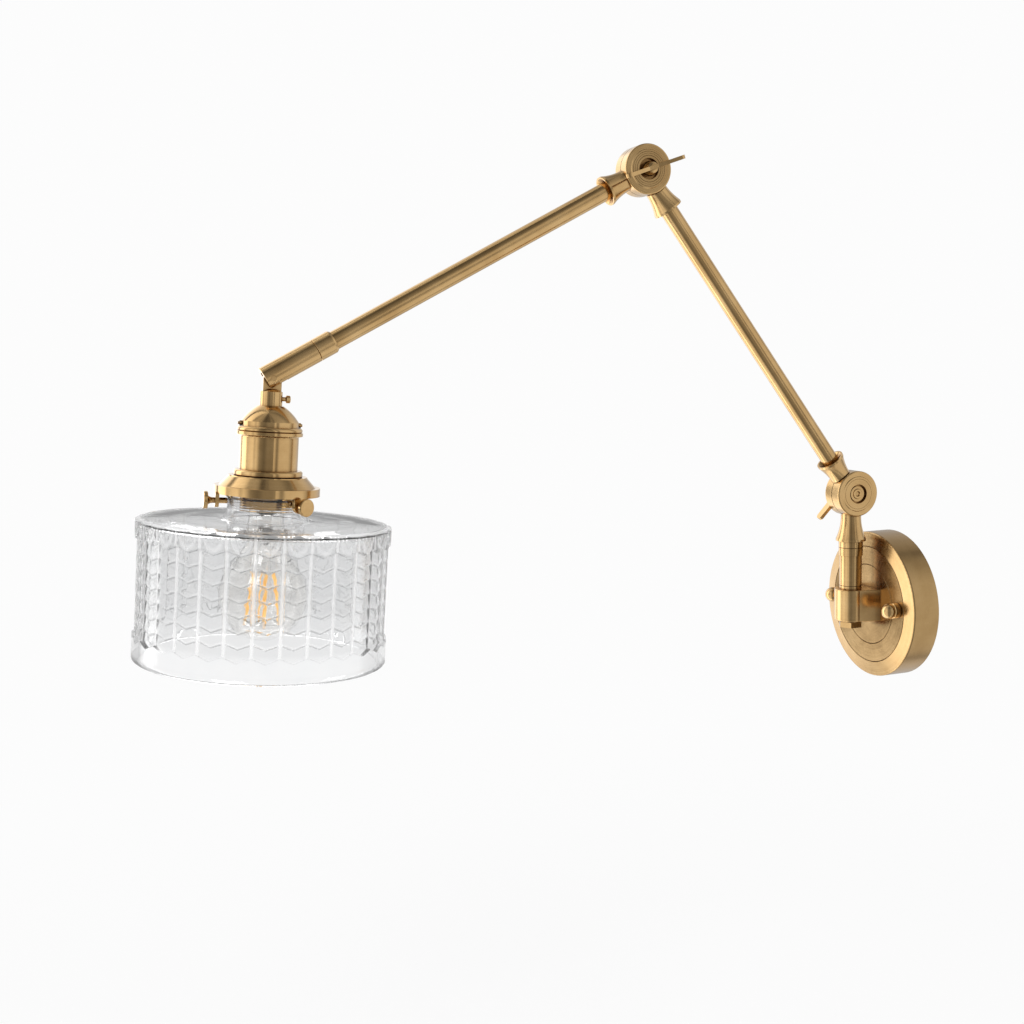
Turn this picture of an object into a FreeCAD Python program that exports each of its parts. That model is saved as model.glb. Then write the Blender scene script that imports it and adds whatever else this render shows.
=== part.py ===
import FreeCAD, Part
import math
import os
import Sketcher

# Articulating wall lamp with two disc-jointed arms and a pressed-glass drum shade.
# The wall is the plane Y = 0 and the lamp reaches out towards -Y. Z is up, and X runs along the wall.
# The origin is the centre of the wall plate's back face. Lengths are in millimetres, angles in degrees.

doc = FreeCAD.newDocument("WallLamp")
sheet = doc.addObject("Spreadsheet::Sheet", "Sizes")

DRIVING_SIZES = {
    # wall plate and what lies behind it
    "plate_diameter": 120.0,
    "plate_depth": 24.5,
    "plate_wall": 1.6,
    "plate_fall": 1.5,
    "plate_edge_round": 1.2,
    "ring_line_inner": 33.0,
    "ring_line_outer": 48.0,
    "ring_line_width": 0.8,
    "ring_line_depth": 0.5,
    "bracket_length": 108.0,
    "bracket_height": 20.0,
    "bracket_thickness": 2.5,
    "bracket_hole_diameter": 4.5,
    "bracket_hole_spacing": 60.0,
    "bracket_wire_hole": 9.0,
    "bracket_wire_hole_place": 7.0,
    "stud_spacing": 79.0,
    "stud_rise": 1.8,
    "stud_diameter": 5.0,
    "ball_nut_diameter": 12.4,
    "ball_nut_stem": 11.6,
    "ball_nut_length": 14.0,
    "terminal_length": 20.0,
    "terminal_height": 11.0,
    "terminal_depth": 10.0,
    "terminal_place": 17.0,
    "earth_screw_diameter": 4.0,
    "earth_screw_length": 9.0,
    # lug and post
    "post_offset": 16.8,
    "lug_width": 26.0,
    "lug_back_width": 35.0,
    "lug_height": 26.0,
    "lug_rise": 1.7,
    "lug_edge_round": 0.8,
    "bush_wall": 1.5,
    "lug_screw_diameter": 4.0,
    "lug_screw_spacing": 20.0,
    "lug_screw_length": 12.0,
    "lug_screw_head": 2.4,
    "spindle_diameter": 12.0,
    "wire_bore": 6.0,
    "post_diameter": 18.0,
    "post_washer_height": 3.0,
    "post_length": 33.0,
    "post_collar_diameter": 19.4,
    "post_collar_length": 12.0,
    "post_seat": 6.0,
    "post_nut_width": 17.0,
    "post_nut_height": 4.6,
    "post_thread_diameter": 10.0,
    "lock_washer_height": 1.2,
    # disc joints
    "joint_height": 93.7,
    "joint_diameter": 37.0,
    "joint_half_thickness": 10.0,
    "joint_washer": 0.5,
    "joint_gap": 0.05,
    "joint_edge": 1.2,
    "joint_rim_width": 4.2,
    "joint_rim_step": 0.5,
    "joint_recess_diameter": 15.6,
    "joint_recess_depth": 2.6,
    "pivot_diameter": 8.0,
    "pivot_head_diameter": 12.4,
    "pivot_head_height": 1.8,
    "running_clearance": 0.05,
    "saddle_gap": 0.5,
    # ferrules
    "ferrule_neck_diameter": 16.2,
    "ferrule_lip_diameter": 22.4,
    "ferrule_reach": 34.8,
    "ferrule_lip": 1.6,
    "ferrule_mouth_depth": 3.0,
    "ferrule_flare_radius": 44.0,
    "post_ferrule_lip_diameter": 24.0,
    "post_ferrule_reach": 39.1,
    # wing keys
    "key_reach": 22.6,
    "key_long_reach": 26.0,
    "key_short_reach": 14.0,
    "key_blade": 2.8,
    "key_hub_diameter": 11.0,
    "key_hub_length": 10.0,
    "key_tip_height": 14.0,
    "key_tip_width": 6.5,
    "upper_key_angle": 108.0,
    "lower_key_angle": 144.0,
    # arms
    "tube_diameter": 13.4,
    "tube_wall": 1.0,
    "tube_seat": 10.0,
    "lower_arm_length": 312.0,
    "upper_arm_length": 317.1,
    "lower_arm_lean": 35.8,
    "upper_arm_drop": 26.7,
    # knuckle
    "sleeve_diameter": 16.4,
    "sleeve_length": 14.0,
    "sleeve_bevel": 1.4,
    "knuckle_length": 36.0,
    "knuckle_overhang": 5.0,
    "knuckle_round": 3.6,
    "spigot_diameter": 9.0,
    "spigot_length": 15.0,
    "sleeve_floor": 3.0,
    "slot_relief": 5.0,
    "pivot_drop": 2.0,
    "slot_width": 6.0,
    "knuckle_pin_diameter": 4.0,
    "head_tilt": 5.4,
    # lamp head, measured down its axis from the knuckle pin
    "eye_thickness": 5.6,
    "eye_diameter": 12.6,
    "shoulder_start": 7.4,
    "stem_start": 9.0,
    "stem_diameter": 15.2,
    "stem_wall": 2.2,
    "stem_screw_place": 14.0,
    "stem_screw_diameter": 3.0,
    "stem_screw_knob": 5.4,
    "stem_screw_reach": 5.4,
    "cap_start": 19.0,
    "cap_skirt_start": 29.8,
    "dome_radius": 34.0,
    "cap_inset": 0.4,
    "cap_screw_diameter": 2.0,
    "cap_screw_length": 5.0,
    "ring_start": 33.4,
    "ring_end": 39.3,
    "ring_diameter": 45.4,
    "shell_diameter": 40.0,
    "shell_wall": 0.9,
    "shade_ring_start": 63.0,
    "shade_ring_diameter": 47.2,
    "gallery_start": 67.2,
    "gallery_disc_diameter": 54.0,
    "gallery_cone_diameter": 66.0,
    "flange_start": 74.4,
    "flange_end": 80.0,
    "flange_diameter": 72.4,
    "gallery_wall": 1.2,
    "ear_width": 9.6,
    "ear_thickness": 2.6,
    "shade_screw_place": 85.3,
    "shade_screw_diameter": 4.0,
    "shade_screw_head": 12.2,
    "shade_screw_head_height": 2.8,
    "shade_screw_neck": 3.4,
    "shade_screw_reach": 43.2,
    "shade_screw_grip_gap": 0.3,
    "skirt_diameter": 37.0,
    "skirt_wall": 1.4,
    "skirt_end": 89.8,
    "screw_shell_diameter": 27.0,
    "screw_shell_wall": 0.4,
    "insert_start": 45.0,
    "insert_end": 64.0,
    "contact_height": 1.8,
    # glass shade
    "glass_thickness": 3.2,
    "neck_lip_diameter": 57.2,
    "neck_diameter": 53.4,
    "neck_lip_end": 82.0,
    "shade_top": 97.8,
    "shade_bottom": 195.2,
    "shade_diameter": 169.2,
    "shade_corner": 2.5,
    "shade_neck_blend": 7.0,
    "band_proud": 2.7,
    "top_band_height": 10.0,
    "bottom_band_height": 17.0,
    "rib_radius": 1.5,
    "rib_proud": 1.1,
    "rib_phase": 0.5,
    # bulb
    "bulb_diameter": 62.0,
    "bulb_tip": 182.4,
    "bulb_glass_wall": 0.8,
    "bulb_neck_diameter": 24.6,
    "bulb_neck_entry": 3.0,
    "bulb_cap_diameter": 26.2,
    "bulb_cap_start": 71.5,
    "bulb_cap_end": 90.5,
    "bulb_stem_diameter": 9.0,
    "bulb_stem_end": 114.0,
    "bulb_foot_height": 9.0,
    "bulb_rod_diameter": 3.0,
    "bulb_flare_radius": 70.0,
    "filament_wire": 0.8,
    "filament_diameter": 2.0,
    "filament_start": 135.0,
    "filament_end": 172.0,
    "filament_top_circle": 14.0,
    "filament_bottom_circle": 24.0,
}
SHADE_RIBS = 30

for row, (alias, value) in enumerate(DRIVING_SIZES.items(), start=1):
    sheet.set("A%d" % row, alias.replace("_", " "))
    sheet.set("B%d" % row, repr(value))
    sheet.setAlias("B%d" % row, alias)
doc.recompute()


class Size:
    """A number with the formula that the document keeps for it."""

    def __init__(self, value, text):
        self.value = float(value)
        self.text = text

    def __add__(self, other):
        other = as_size(other)
        return Size(self.value + other.value, "(%s + %s)" % (self.text, other.text))

    def __radd__(self, other):
        return as_size(other) + self

    def __sub__(self, other):
        other = as_size(other)
        return Size(self.value - other.value, "(%s - %s)" % (self.text, other.text))

    def __rsub__(self, other):
        return as_size(other) - self

    def __mul__(self, other):
        other = as_size(other)
        return Size(self.value * other.value, "(%s * %s)" % (self.text, other.text))

    def __rmul__(self, other):
        return as_size(other) * self

    def __truediv__(self, other):
        other = as_size(other)
        return Size(self.value / other.value, "(%s / %s)" % (self.text, other.text))

    def __neg__(self):
        return Size(-self.value, "(-%s)" % self.text)


def as_size(number):
    return number if isinstance(number, Size) else Size(number, repr(float(number)))


def sine(angle):
    return Size(math.sin(math.radians(angle.value)), "sin(%s)" % angle.text)


def cosine(angle):
    return Size(math.cos(math.radians(angle.value)), "cos(%s)" % angle.text)


def root(number):
    return Size(math.sqrt(number.value), "sqrt(%s)" % number.text)


class Sizes:
    """The sheet's cells by alias, as Size values."""

    def __getattr__(self, alias):
        return Size(getattr(sheet, alias), "Sizes." + alias)


size = Sizes()


class Place:
    """Where a sub-part's own frame stands: a point, a turn about X, a spin about Z, and a last lay about X."""

    def __init__(self, point=(0.0, 0.0, 0.0), turn=0.0, spin=0.0, lay=0.0):
        self.point = [as_size(number) for number in point]
        self.turn = as_size(turn)
        self.spin = as_size(spin)
        self.lay = as_size(lay)

    def text(self):
        point = "vector(%s; %s; %s)" % tuple(number.text for number in self.point)
        turn = "rotation(vector(1; 0; 0); %s)" % self.turn.text
        spin = "rotation(vector(0; 0; 1); %s)" % self.spin.text
        lay = "rotation(vector(1; 0; 0); %s)" % self.lay.text
        return "placement(%s; %s * %s * %s)" % (point, turn, spin, lay)


# ---- building blocks ----

def new_body(label, place):
    body = doc.addObject("PartDesign::Body", label)
    body.Label = label
    body.AllowCompound = True
    body.setExpression("Placement", place.text())
    return body


def new_sketch(body, plane_role, name):
    plane = [item for item in body.Origin.OriginFeatures if item.Role == plane_role][0]
    sketch = body.newObject("Sketcher::SketchObject", body.Name + "_" + name)
    sketch.AttachmentSupport = [(plane, "")]
    sketch.MapMode = "FlatFace"
    return sketch


def pin_vertex(sketch, geometry, end, point):
    """Hold one vertex at a point of the sketch, each coordinate bound to its formula."""
    for kind, axis, number in (("DistanceX", -2, point[0]), ("DistanceY", -1, point[1])):
        number = as_size(number)
        if number.text in ("0.0", "-0.0"):
            sketch.addConstraint(Sketcher.Constraint("PointOnObject", geometry, end, axis))
        else:
            index = sketch.addConstraint(Sketcher.Constraint(kind, -1, 1, geometry, end, number.value))
            sketch.setExpression("Constraints[%d]" % index, number.text)


def arc_edge(first, last, radius, side):
    """Arc from first to last. Side +1 has its centre on the left of the way there, -1 on the right.

    A radius of None makes a half circle.
    """
    start = FreeCAD.Vector(first[0].value, first[1].value, 0)
    finish = FreeCAD.Vector(last[0].value, last[1].value, 0)
    chord = finish - start
    length = chord.Length / 2 if radius is None else radius.value
    height = math.sqrt(max(length ** 2 - (chord.Length / 2) ** 2, 0.0))
    left = FreeCAD.Vector(-chord.y, chord.x, 0).normalize()
    centre = (start + finish) / 2 + left * height * side
    begin = math.atan2(start.y - centre.y, start.x - centre.x)
    stop = math.atan2(finish.y - centre.y, finish.x - centre.x)
    if side < 0:
        begin, stop = stop, begin
    circle = Part.Circle(centre, FreeCAD.Vector(0, 0, 1), length)
    return Part.ArcOfCircle(circle, begin, stop)


def draw_outline(sketch, steps):
    """Closed outline. Each step is (x, y), or (x, y, radius, side) for an arc that ends there."""
    points = [(as_size(step[0]), as_size(step[1])) for step in steps]
    ends = []
    for index, step in enumerate(steps):
        first = points[index - 1]
        last = points[index]
        if len(step) == 4:
            radius = None if step[2] is None else as_size(step[2])
            geometry = sketch.addGeometry(arc_edge(first, last, radius, step[3]), False)
            if radius is None:
                sketch.addConstraint(Sketcher.Constraint("Symmetric", geometry, 1, geometry, 2, geometry, 3))
            else:
                bound = sketch.addConstraint(Sketcher.Constraint("Radius", geometry, radius.value))
                sketch.setExpression("Constraints[%d]" % bound, radius.text)
            ends.append((geometry, 1, 2) if step[3] > 0 else (geometry, 2, 1))
        else:
            line = Part.LineSegment(
                FreeCAD.Vector(first[0].value, first[1].value, 0),
                FreeCAD.Vector(last[0].value, last[1].value, 0))
            ends.append((sketch.addGeometry(line, False), 1, 2))
    for index, (geometry, begin, finish) in enumerate(ends):
        following, following_begin, _ = ends[(index + 1) % len(ends)]
        sketch.addConstraint(
            Sketcher.Constraint("Coincident", geometry, finish, following, following_begin))
        pin_vertex(sketch, geometry, finish, points[index])


def draw_circle(sketch, centre, radius):
    centre = [as_size(number) for number in centre]
    radius = as_size(radius)
    middle = FreeCAD.Vector(centre[0].value, centre[1].value, 0)
    circle = Part.Circle(middle, FreeCAD.Vector(0, 0, 1), radius.value)
    geometry = sketch.addGeometry(circle, False)
    bound = sketch.addConstraint(Sketcher.Constraint("Radius", geometry, radius.value))
    sketch.setExpression("Constraints[%d]" % bound, radius.text)
    pin_vertex(sketch, geometry, 3, centre)


def turn_profile(body, name, steps, about="V_Axis", cut=False, plane="XZ_Plane"):
    """Revolve an outline about the vertical (V_Axis) or the horizontal (H_Axis) of its sketch."""
    sketch = new_sketch(body, plane, name + "_profile")
    draw_outline(sketch, steps)
    kind = "PartDesign::Groove" if cut else "PartDesign::Revolution"
    feature = body.newObject(kind, body.Name + "_" + name)
    feature.Profile = sketch
    feature.ReferenceAxis = (sketch, [about])
    feature.Angle = 360
    return feature


def extrude(body, name, plane, draw, length, cut=False, start=0.0, both_ways=True, reverse=False):
    """Pad or pocket what draw(sketch) draws, from the given height above the plane."""
    sketch = new_sketch(body, plane, name + "_sketch")
    start = as_size(start)
    if start.text != "0.0":
        sketch.setExpression("AttachmentOffset.Base.z", start.text)
    draw(sketch)
    kind = "PartDesign::Pocket" if cut else "PartDesign::Pad"
    feature = body.newObject(kind, body.Name + "_" + name)
    feature.Profile = sketch
    feature.setExpression("Length", as_size(length).text)
    if both_ways:
        feature.SideType = "Symmetric"
    feature.Reversed = reverse
    return feature


def soften(body, name, radius, choose):
    """Fillet the edges of the newest feature that choose(edge) accepts."""
    doc.recompute()
    base = body.Tip
    names = ["Edge%d" % (number + 1) for number, edge in enumerate(base.Shape.Edges) if choose(edge)]
    feature = body.newObject("PartDesign::Fillet", body.Name + "_" + name)
    feature.Base = (base, names)
    feature.setExpression("Radius", as_size(radius).text)
    return feature


def repeat_around(body, features, name, count):
    """Repeat features evenly about the body's Z."""
    doc.recompute()
    line = [item for item in body.Origin.OriginFeatures if item.Role == "Z_Axis"][0]
    pattern = body.newObject("PartDesign::PolarPattern", body.Name + "_" + name)
    pattern.Originals = features
    pattern.Axis = (line, [""])
    pattern.Angle = 360
    pattern.Occurrences = count
    body.Tip = pattern
    doc.recompute()


def rod(body, name, radius, start, end, bore=None):
    """Round bar along the body's Z, or a tube where a bore radius is given."""
    inner = 0.0 if bore is None else bore
    return turn_profile(body, name, [(inner, start), (radius, start), (radius, end), (inner, end)])


# ---- frames that the sub-parts stand in ----

gap = size.joint_gap
clearance = size.running_clearance
joint_radius = size.joint_diameter / 2
half_washer = size.joint_washer / 2
plate_radius = size.plate_diameter / 2
post_y = -(size.plate_depth + size.post_offset)
lug_top = size.lug_rise + size.lug_height / 2
lug_bottom = size.lug_rise - size.lug_height / 2
lower_lean = size.lower_arm_lean
upper_lean = size.upper_arm_drop + 90.0
elbow_y = post_y - size.lower_arm_length * sine(lower_lean)
elbow_z = size.joint_height + size.lower_arm_length * cosine(lower_lean)
arm_end_y = elbow_y - size.upper_arm_length * sine(upper_lean)
arm_end_z = elbow_z + size.upper_arm_length * cosine(upper_lean)
hinge_y = arm_end_y - size.pivot_drop * cosine(upper_lean)
hinge_z = arm_end_z - size.pivot_drop * sine(upper_lean)

WALL = Place(turn=90.0)
POST = Place((0.0, post_y, 0.0))
LOWER_JOINT = Place((0.0, post_y, size.joint_height), 180.0)
LOWER_ARM = Place((0.0, post_y, size.joint_height), lower_lean)
LOWER_ARM_TOP = Place((0.0, elbow_y, elbow_z), lower_lean + 180.0)
UPPER_ARM = Place((0.0, elbow_y, elbow_z), upper_lean)
KNUCKLE = Place((0.0, arm_end_y, arm_end_z), upper_lean)
HEAD = Place((0.0, hinge_y, hinge_z), 180.0 - size.head_tilt)


# ---- wall plate, bracket and what holds them ----

def make_wall_plate():
    """Spun dish: flat face with two engraved rings, falling gently from the outer one to the rim."""
    body = new_body("wall_plate", WALL)
    wall = size.plate_wall
    depth = size.plate_depth
    inner = size.ring_line_inner
    outer = size.ring_line_outer
    half_line = size.ring_line_width / 2
    cut = size.ring_line_depth
    edge = size.plate_edge_round
    rim = depth - size.plate_fall
    turn_profile(body, "dish", [
        (0.0, depth - wall - cut),
        (outer, depth - wall - cut),
        (plate_radius - wall, rim - wall - cut),
        (plate_radius - wall, 0.0),
        (plate_radius, 0.0),
        (plate_radius, rim - edge),
        (plate_radius - edge, rim, edge, 1),
        (outer + half_line, depth),
        (outer, depth - cut),
        (outer - half_line, depth),
        (inner + half_line, depth),
        (inner, depth - cut),
        (inner - half_line, depth),
        (0.0, depth)])

    def stud_holes(sketch):
        for side in (-1.0, 1.0):
            draw_circle(sketch, (side * size.stud_spacing / 2, size.stud_rise), size.stud_diameter / 2 + 0.2)

    def screw_holes(sketch):
        for side in (-1.0, 1.0):
            centre = (side * size.lug_screw_spacing / 2, size.lug_rise)
            draw_circle(sketch, centre, size.lug_screw_diameter / 2 + 0.2)

    extrude(body, "stud_holes", "XY_Plane", stud_holes, depth * 2, cut=True, start=depth)
    extrude(body, "screw_holes", "XY_Plane", screw_holes, depth * 2, cut=True, start=depth)


def make_mounting_bracket():
    """Flat steel bar on the wall, with two fixing holes, a wire hole and the threads for the studs."""
    body = new_body("mounting_bracket", WALL)
    half_length = size.bracket_length / 2
    half_height = size.bracket_height / 2
    straight = half_length - half_height

    def bar(sketch):
        draw_outline(sketch, [
            (straight, -half_height),
            (straight, half_height, None, 1),
            (-straight, half_height),
            (-straight, -half_height, None, 1)])

    def holes(sketch):
        draw_circle(sketch, (size.bracket_wire_hole_place, 0.0), size.bracket_wire_hole / 2)
        for side in (-1.0, 1.0):
            draw_circle(sketch, (side * size.bracket_hole_spacing / 2, 0.0), size.bracket_hole_diameter / 2)
            draw_circle(sketch, (side * size.stud_spacing / 2, size.stud_rise), size.stud_diameter / 2)

    extrude(body, "bar", "XY_Plane", bar, size.bracket_thickness, both_ways=False)
    extrude(body, "holes", "XY_Plane", holes, size.bracket_thickness * 4, cut=True)


def make_canopy_studs():
    """Two threaded studs that hold the plate against the wall."""
    body = new_body("canopy_studs", WALL)

    def studs(sketch):
        for side in (-1.0, 1.0):
            draw_circle(sketch, (side * size.stud_spacing / 2, size.stud_rise), size.stud_diameter / 2)

    feature = extrude(body, "studs", "XY_Plane", studs, size.plate_depth + size.ball_nut_length / 2,
                      both_ways=False)
    feature.AllowMultiFace = True


def make_ball_nut(label, side):
    """Round nut with a fine groove and a ball end."""
    place = Place((side * size.stud_spacing / 2, 0.0, size.stud_rise), 90.0)
    body = new_body(label, place)
    ball = size.ball_nut_diameter / 2
    stem = size.ball_nut_stem / 2
    base = size.plate_depth
    top = base + size.ball_nut_length
    centre = top - ball
    stud = size.stud_diameter / 2
    reach = size.plate_depth + size.ball_nut_length / 2
    waist = centre - root(ball * ball - stem * stem)
    turn_profile(body, "nut", [
        (0.0, reach),
        (stud, reach),
        (stud, base),
        (ball - 0.4, base),
        (ball, base + 0.4),
        (ball, waist - 0.6),
        (stem, waist - 0.3),
        (stem, waist),
        (0.0, top, ball, 1)])


def make_swivel_lug():
    """Block on the plate: round in front, concentric with the post, with sides that widen to the back."""
    body = new_body("swivel_lug", POST)
    radius = size.lug_width / 2
    back_half = size.lug_back_width / 2
    back = size.post_offset
    half_height = size.lug_height / 2
    bush = size.spindle_diameter / 2 + clearance + size.bush_wall

    def block(sketch):
        draw_outline(sketch, [
            (-back_half, back),
            (-radius, 0.0),
            (radius, 0.0, None, 1),
            (back_half, back)])

    extrude(body, "block", "XY_Plane", block, size.lug_height, start=size.lug_rise)
    soften(body, "edges", size.lug_edge_round,
           lambda edge: abs(abs(edge.CenterOfMass.z - size.lug_rise.value) - half_height.value) < 0.01
           and edge.CenterOfMass.y < back.value - 0.01)
    extrude(body, "bore", "XY_Plane", lambda sketch: draw_circle(sketch, (0.0, 0.0), bush),
            size.lug_height * 2, cut=True, start=size.lug_rise)

    def screw_holes(sketch):
        for side in (-1.0, 1.0):
            centre = (side * size.lug_screw_spacing / 2, size.lug_rise)
            draw_circle(sketch, centre, size.lug_screw_diameter / 2)

    extrude(body, "screw_holes", "XZ_Plane", screw_holes, size.lug_screw_length * 2 - 3.0, cut=True,
            start=-back)


def make_lug_bush():
    body = new_body("lug_bush", POST)
    inner = size.spindle_diameter / 2 + clearance
    outer = inner + size.bush_wall
    rod(body, "bush", outer, lug_bottom, lug_top, bore=inner)


def make_lug_screws():
    """Two pan-head screws that hold the lug to the plate from inside."""
    body = new_body("lug_screws", WALL)
    seat = size.plate_depth - size.plate_wall - size.ring_line_depth
    shank = size.lug_screw_diameter / 2

    def heads(sketch):
        for side in (-1.0, 1.0):
            draw_circle(sketch, (side * size.lug_screw_spacing / 2, size.lug_rise), shank * 1.8)

    def shanks(sketch):
        for side in (-1.0, 1.0):
            draw_circle(sketch, (side * size.lug_screw_spacing / 2, size.lug_rise), shank)

    first = extrude(body, "heads", "XY_Plane", heads, size.lug_screw_head, both_ways=False,
                    start=seat - size.lug_screw_head)
    first.AllowMultiFace = True
    second = extrude(body, "shanks", "XY_Plane", shanks, size.lug_screw_length, both_ways=False, start=seat)
    second.AllowMultiFace = True


def make_terminal_block():
    """Three-way terminal block on the bracket, with a screw hole above each way."""
    place = Place((-size.terminal_place, 0.0, 0.0), 90.0)
    body = new_body("terminal_block", place)
    half_length = size.terminal_length / 2
    half_height = size.terminal_height / 2
    base = size.bracket_thickness
    pitch = size.terminal_length / 3

    def block(sketch):
        draw_outline(sketch, [
            (-half_length, -half_height),
            (half_length, -half_height),
            (half_length, half_height),
            (-half_length, half_height)])

    def ways(sketch):
        for step in (-1.0, 0.0, 1.0):
            draw_circle(sketch, (pitch * step, 0.0), pitch * 0.3)

    extrude(body, "block", "XY_Plane", block, size.terminal_depth, both_ways=False, start=base)
    extrude(body, "ways", "XY_Plane", ways, size.terminal_depth, cut=True, start=base + size.terminal_depth)


def make_earth_screw():
    place = Place((size.terminal_place, 0.0, 0.0), 90.0)
    body = new_body("earth_screw", place)
    shank = size.earth_screw_diameter / 2
    base = size.bracket_thickness
    turn_profile(body, "screw", [
        (0.0, base),
        (shank, base),
        (shank, base + size.earth_screw_length - 2.4),
        (shank * 1.9, base + size.earth_screw_length - 2.4),
        (shank * 1.9, base + size.earth_screw_length),
        (0.0, base + size.earth_screw_length)])


# ---- post ----

post_start = lug_top + size.post_washer_height
post_end = lug_top + size.post_washer_height + size.post_length
collar_end = size.joint_height - size.post_ferrule_reach
nut_top = lug_bottom - gap - size.lock_washer_height


def make_post_spindle():
    """Stepped spindle with a bore for the wires: it carries the post and runs down through the lug."""
    body = new_body("post_spindle", POST)
    radius = size.spindle_diameter / 2
    thread = size.post_thread_diameter / 2
    bore = size.wire_bore / 2
    bottom = nut_top - size.post_nut_height - 0.8
    turn_profile(body, "spindle", [
        (bore, bottom),
        (thread, bottom),
        (thread, lug_bottom - gap),
        (radius, lug_bottom - gap),
        (radius, post_end),
        (bore, post_end)])


def make_swivel_washer():
    body = new_body("swivel_washer", POST)
    rod(body, "ring", size.post_diameter / 2, lug_top + gap, post_start - 0.4,
        bore=size.spindle_diameter / 2)


def make_post_tube():
    """Outer tube of the post, with a fine seam line above the swivel washer."""
    body = new_body("post_tube", POST)
    inner = size.spindle_diameter / 2
    outer = size.post_diameter / 2
    turn_profile(body, "tube", [
        (inner, post_start - 0.4),
        (outer - 0.3, post_start - 0.4),
        (outer - 0.3, post_start),
        (outer, post_start),
        (outer, post_end),
        (inner, post_end)])


def make_post_collar():
    """Turned collar at the top of the post that enters the ferrule."""
    body = new_body("post_collar", POST)
    start = collar_end - size.post_collar_length
    inside = collar_end + size.post_seat
    turn_profile(body, "collar", [
        (size.wire_bore / 2, post_end),
        (size.post_diameter / 2, post_end),
        (size.post_diameter / 2, start),
        (size.post_collar_diameter / 2, start),
        (size.post_collar_diameter / 2, collar_end),
        (size.post_diameter / 2, collar_end),
        (size.post_diameter / 2, inside),
        (size.wire_bore / 2, inside)])


def make_lock_washer():
    body = new_body("post_lock_washer", POST)
    rod(body, "ring", size.post_nut_width / 2, nut_top, nut_top + size.lock_washer_height,
        bore=size.post_thread_diameter / 2)


def make_post_nut():
    """Hexagon nut under the lug, with its corners turned off."""
    body = new_body("post_nut", POST)
    flat = size.post_nut_width / 2
    corner = flat / cosine(as_size(30.0))
    bottom = nut_top - size.post_nut_height

    def hexagon(sketch):
        corners = []
        for step in range(6):
            angle = as_size(30.0 + 60.0 * step)
            corners.append((corner * cosine(angle), corner * sine(angle)))
        draw_outline(sketch, corners)

    extrude(body, "hexagon", "XY_Plane", hexagon, size.post_nut_height, both_ways=False, start=bottom)
    extrude(body, "bore", "XY_Plane",
            lambda sketch: draw_circle(sketch, (0.0, 0.0), size.post_thread_diameter / 2),
            size.post_nut_height * 4, cut=True, start=bottom)


# ---- disc joints ----

def make_joint_half(label, place, side, lip_diameter, reach, seat_radius, seat_depth):
    """Disc with a stepped face on one side of the arm, and a flared ferrule that carries a tube.

    Side +1 puts the disc at +X. The ferrule is centred on the arm, so it hangs over the other half's
    rim, and is cut back there to clear it.
    """
    body = new_body(label, place)
    inner = half_washer + gap
    outer = inner + size.joint_half_thickness
    step = outer - size.joint_rim_step
    rim = joint_radius - size.joint_rim_width
    recess = size.joint_recess_diameter / 2
    floor = outer - size.joint_recess_depth
    bore = size.pivot_diameter / 2 + clearance
    edge = size.joint_edge
    turn_profile(body, "disc", [
        (side * inner, bore),
        (side * inner, joint_radius),
        (side * (step - edge), joint_radius),
        (side * step, joint_radius - edge, edge, -side),
        (side * step, rim),
        (side * outer, rim - size.joint_rim_step),
        (side * outer, recess),
        (side * floor, recess),
        (side * floor, bore)], about="H_Axis")

    neck = size.ferrule_neck_diameter / 2
    lip = as_size(lip_diameter) / 2
    lip_start = reach - size.ferrule_lip
    root_height = joint_radius * 0.8
    turn_profile(body, "ferrule", [
        (0.0, root_height),
        (neck, root_height),
        (neck, joint_radius + 1.0),
        (lip, lip_start, size.ferrule_flare_radius, -1),
        (lip, reach),
        (0.0, reach)])
    turn_profile(body, "seat", [
        (0.0, reach - seat_depth),
        (seat_radius, reach - seat_depth),
        (seat_radius, reach),
        (0.0, reach)], cut=True)
    turn_profile(body, "saddle", [
        (side * inner, bore / 2),
        (side * inner, joint_radius + size.saddle_gap),
        (-side * size.post_collar_diameter, joint_radius + size.saddle_gap),
        (-side * size.post_collar_diameter, bore / 2)], about="H_Axis", cut=True)
    turn_profile(body, "pivot_bore", [
        (0.0, 0.0),
        (side * outer * 2, 0.0),
        (side * outer * 2, bore),
        (0.0, bore)], about="H_Axis", cut=True)
    turn_profile(body, "face_recess", [
        (side * floor, 0.0),
        (side * outer * 2, 0.0),
        (side * outer * 2, recess),
        (side * floor, recess)], about="H_Axis", cut=True)
    return body


def make_arm_joint_half(label, place, side):
    """Joint half for an arm's tube, with a flared mouth round the tube."""
    tube = size.tube_diameter / 2
    reach = size.ferrule_reach
    body = make_joint_half(label, place, side, size.ferrule_lip_diameter, reach, tube, size.tube_seat)
    turn_profile(body, "mouth", [
        (tube, reach - size.ferrule_mouth_depth),
        (size.ferrule_lip_diameter / 2 - 1.3, reach),
        (tube, reach)], cut=True)


def make_friction_washer(label, place):
    body = new_body(label, place)
    turn_profile(body, "ring", [
        (-half_washer, size.pivot_diameter / 2 + clearance),
        (half_washer, size.pivot_diameter / 2 + clearance),
        (half_washer, joint_radius - 0.8),
        (-half_washer, joint_radius - 0.8)], about="H_Axis")


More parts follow.
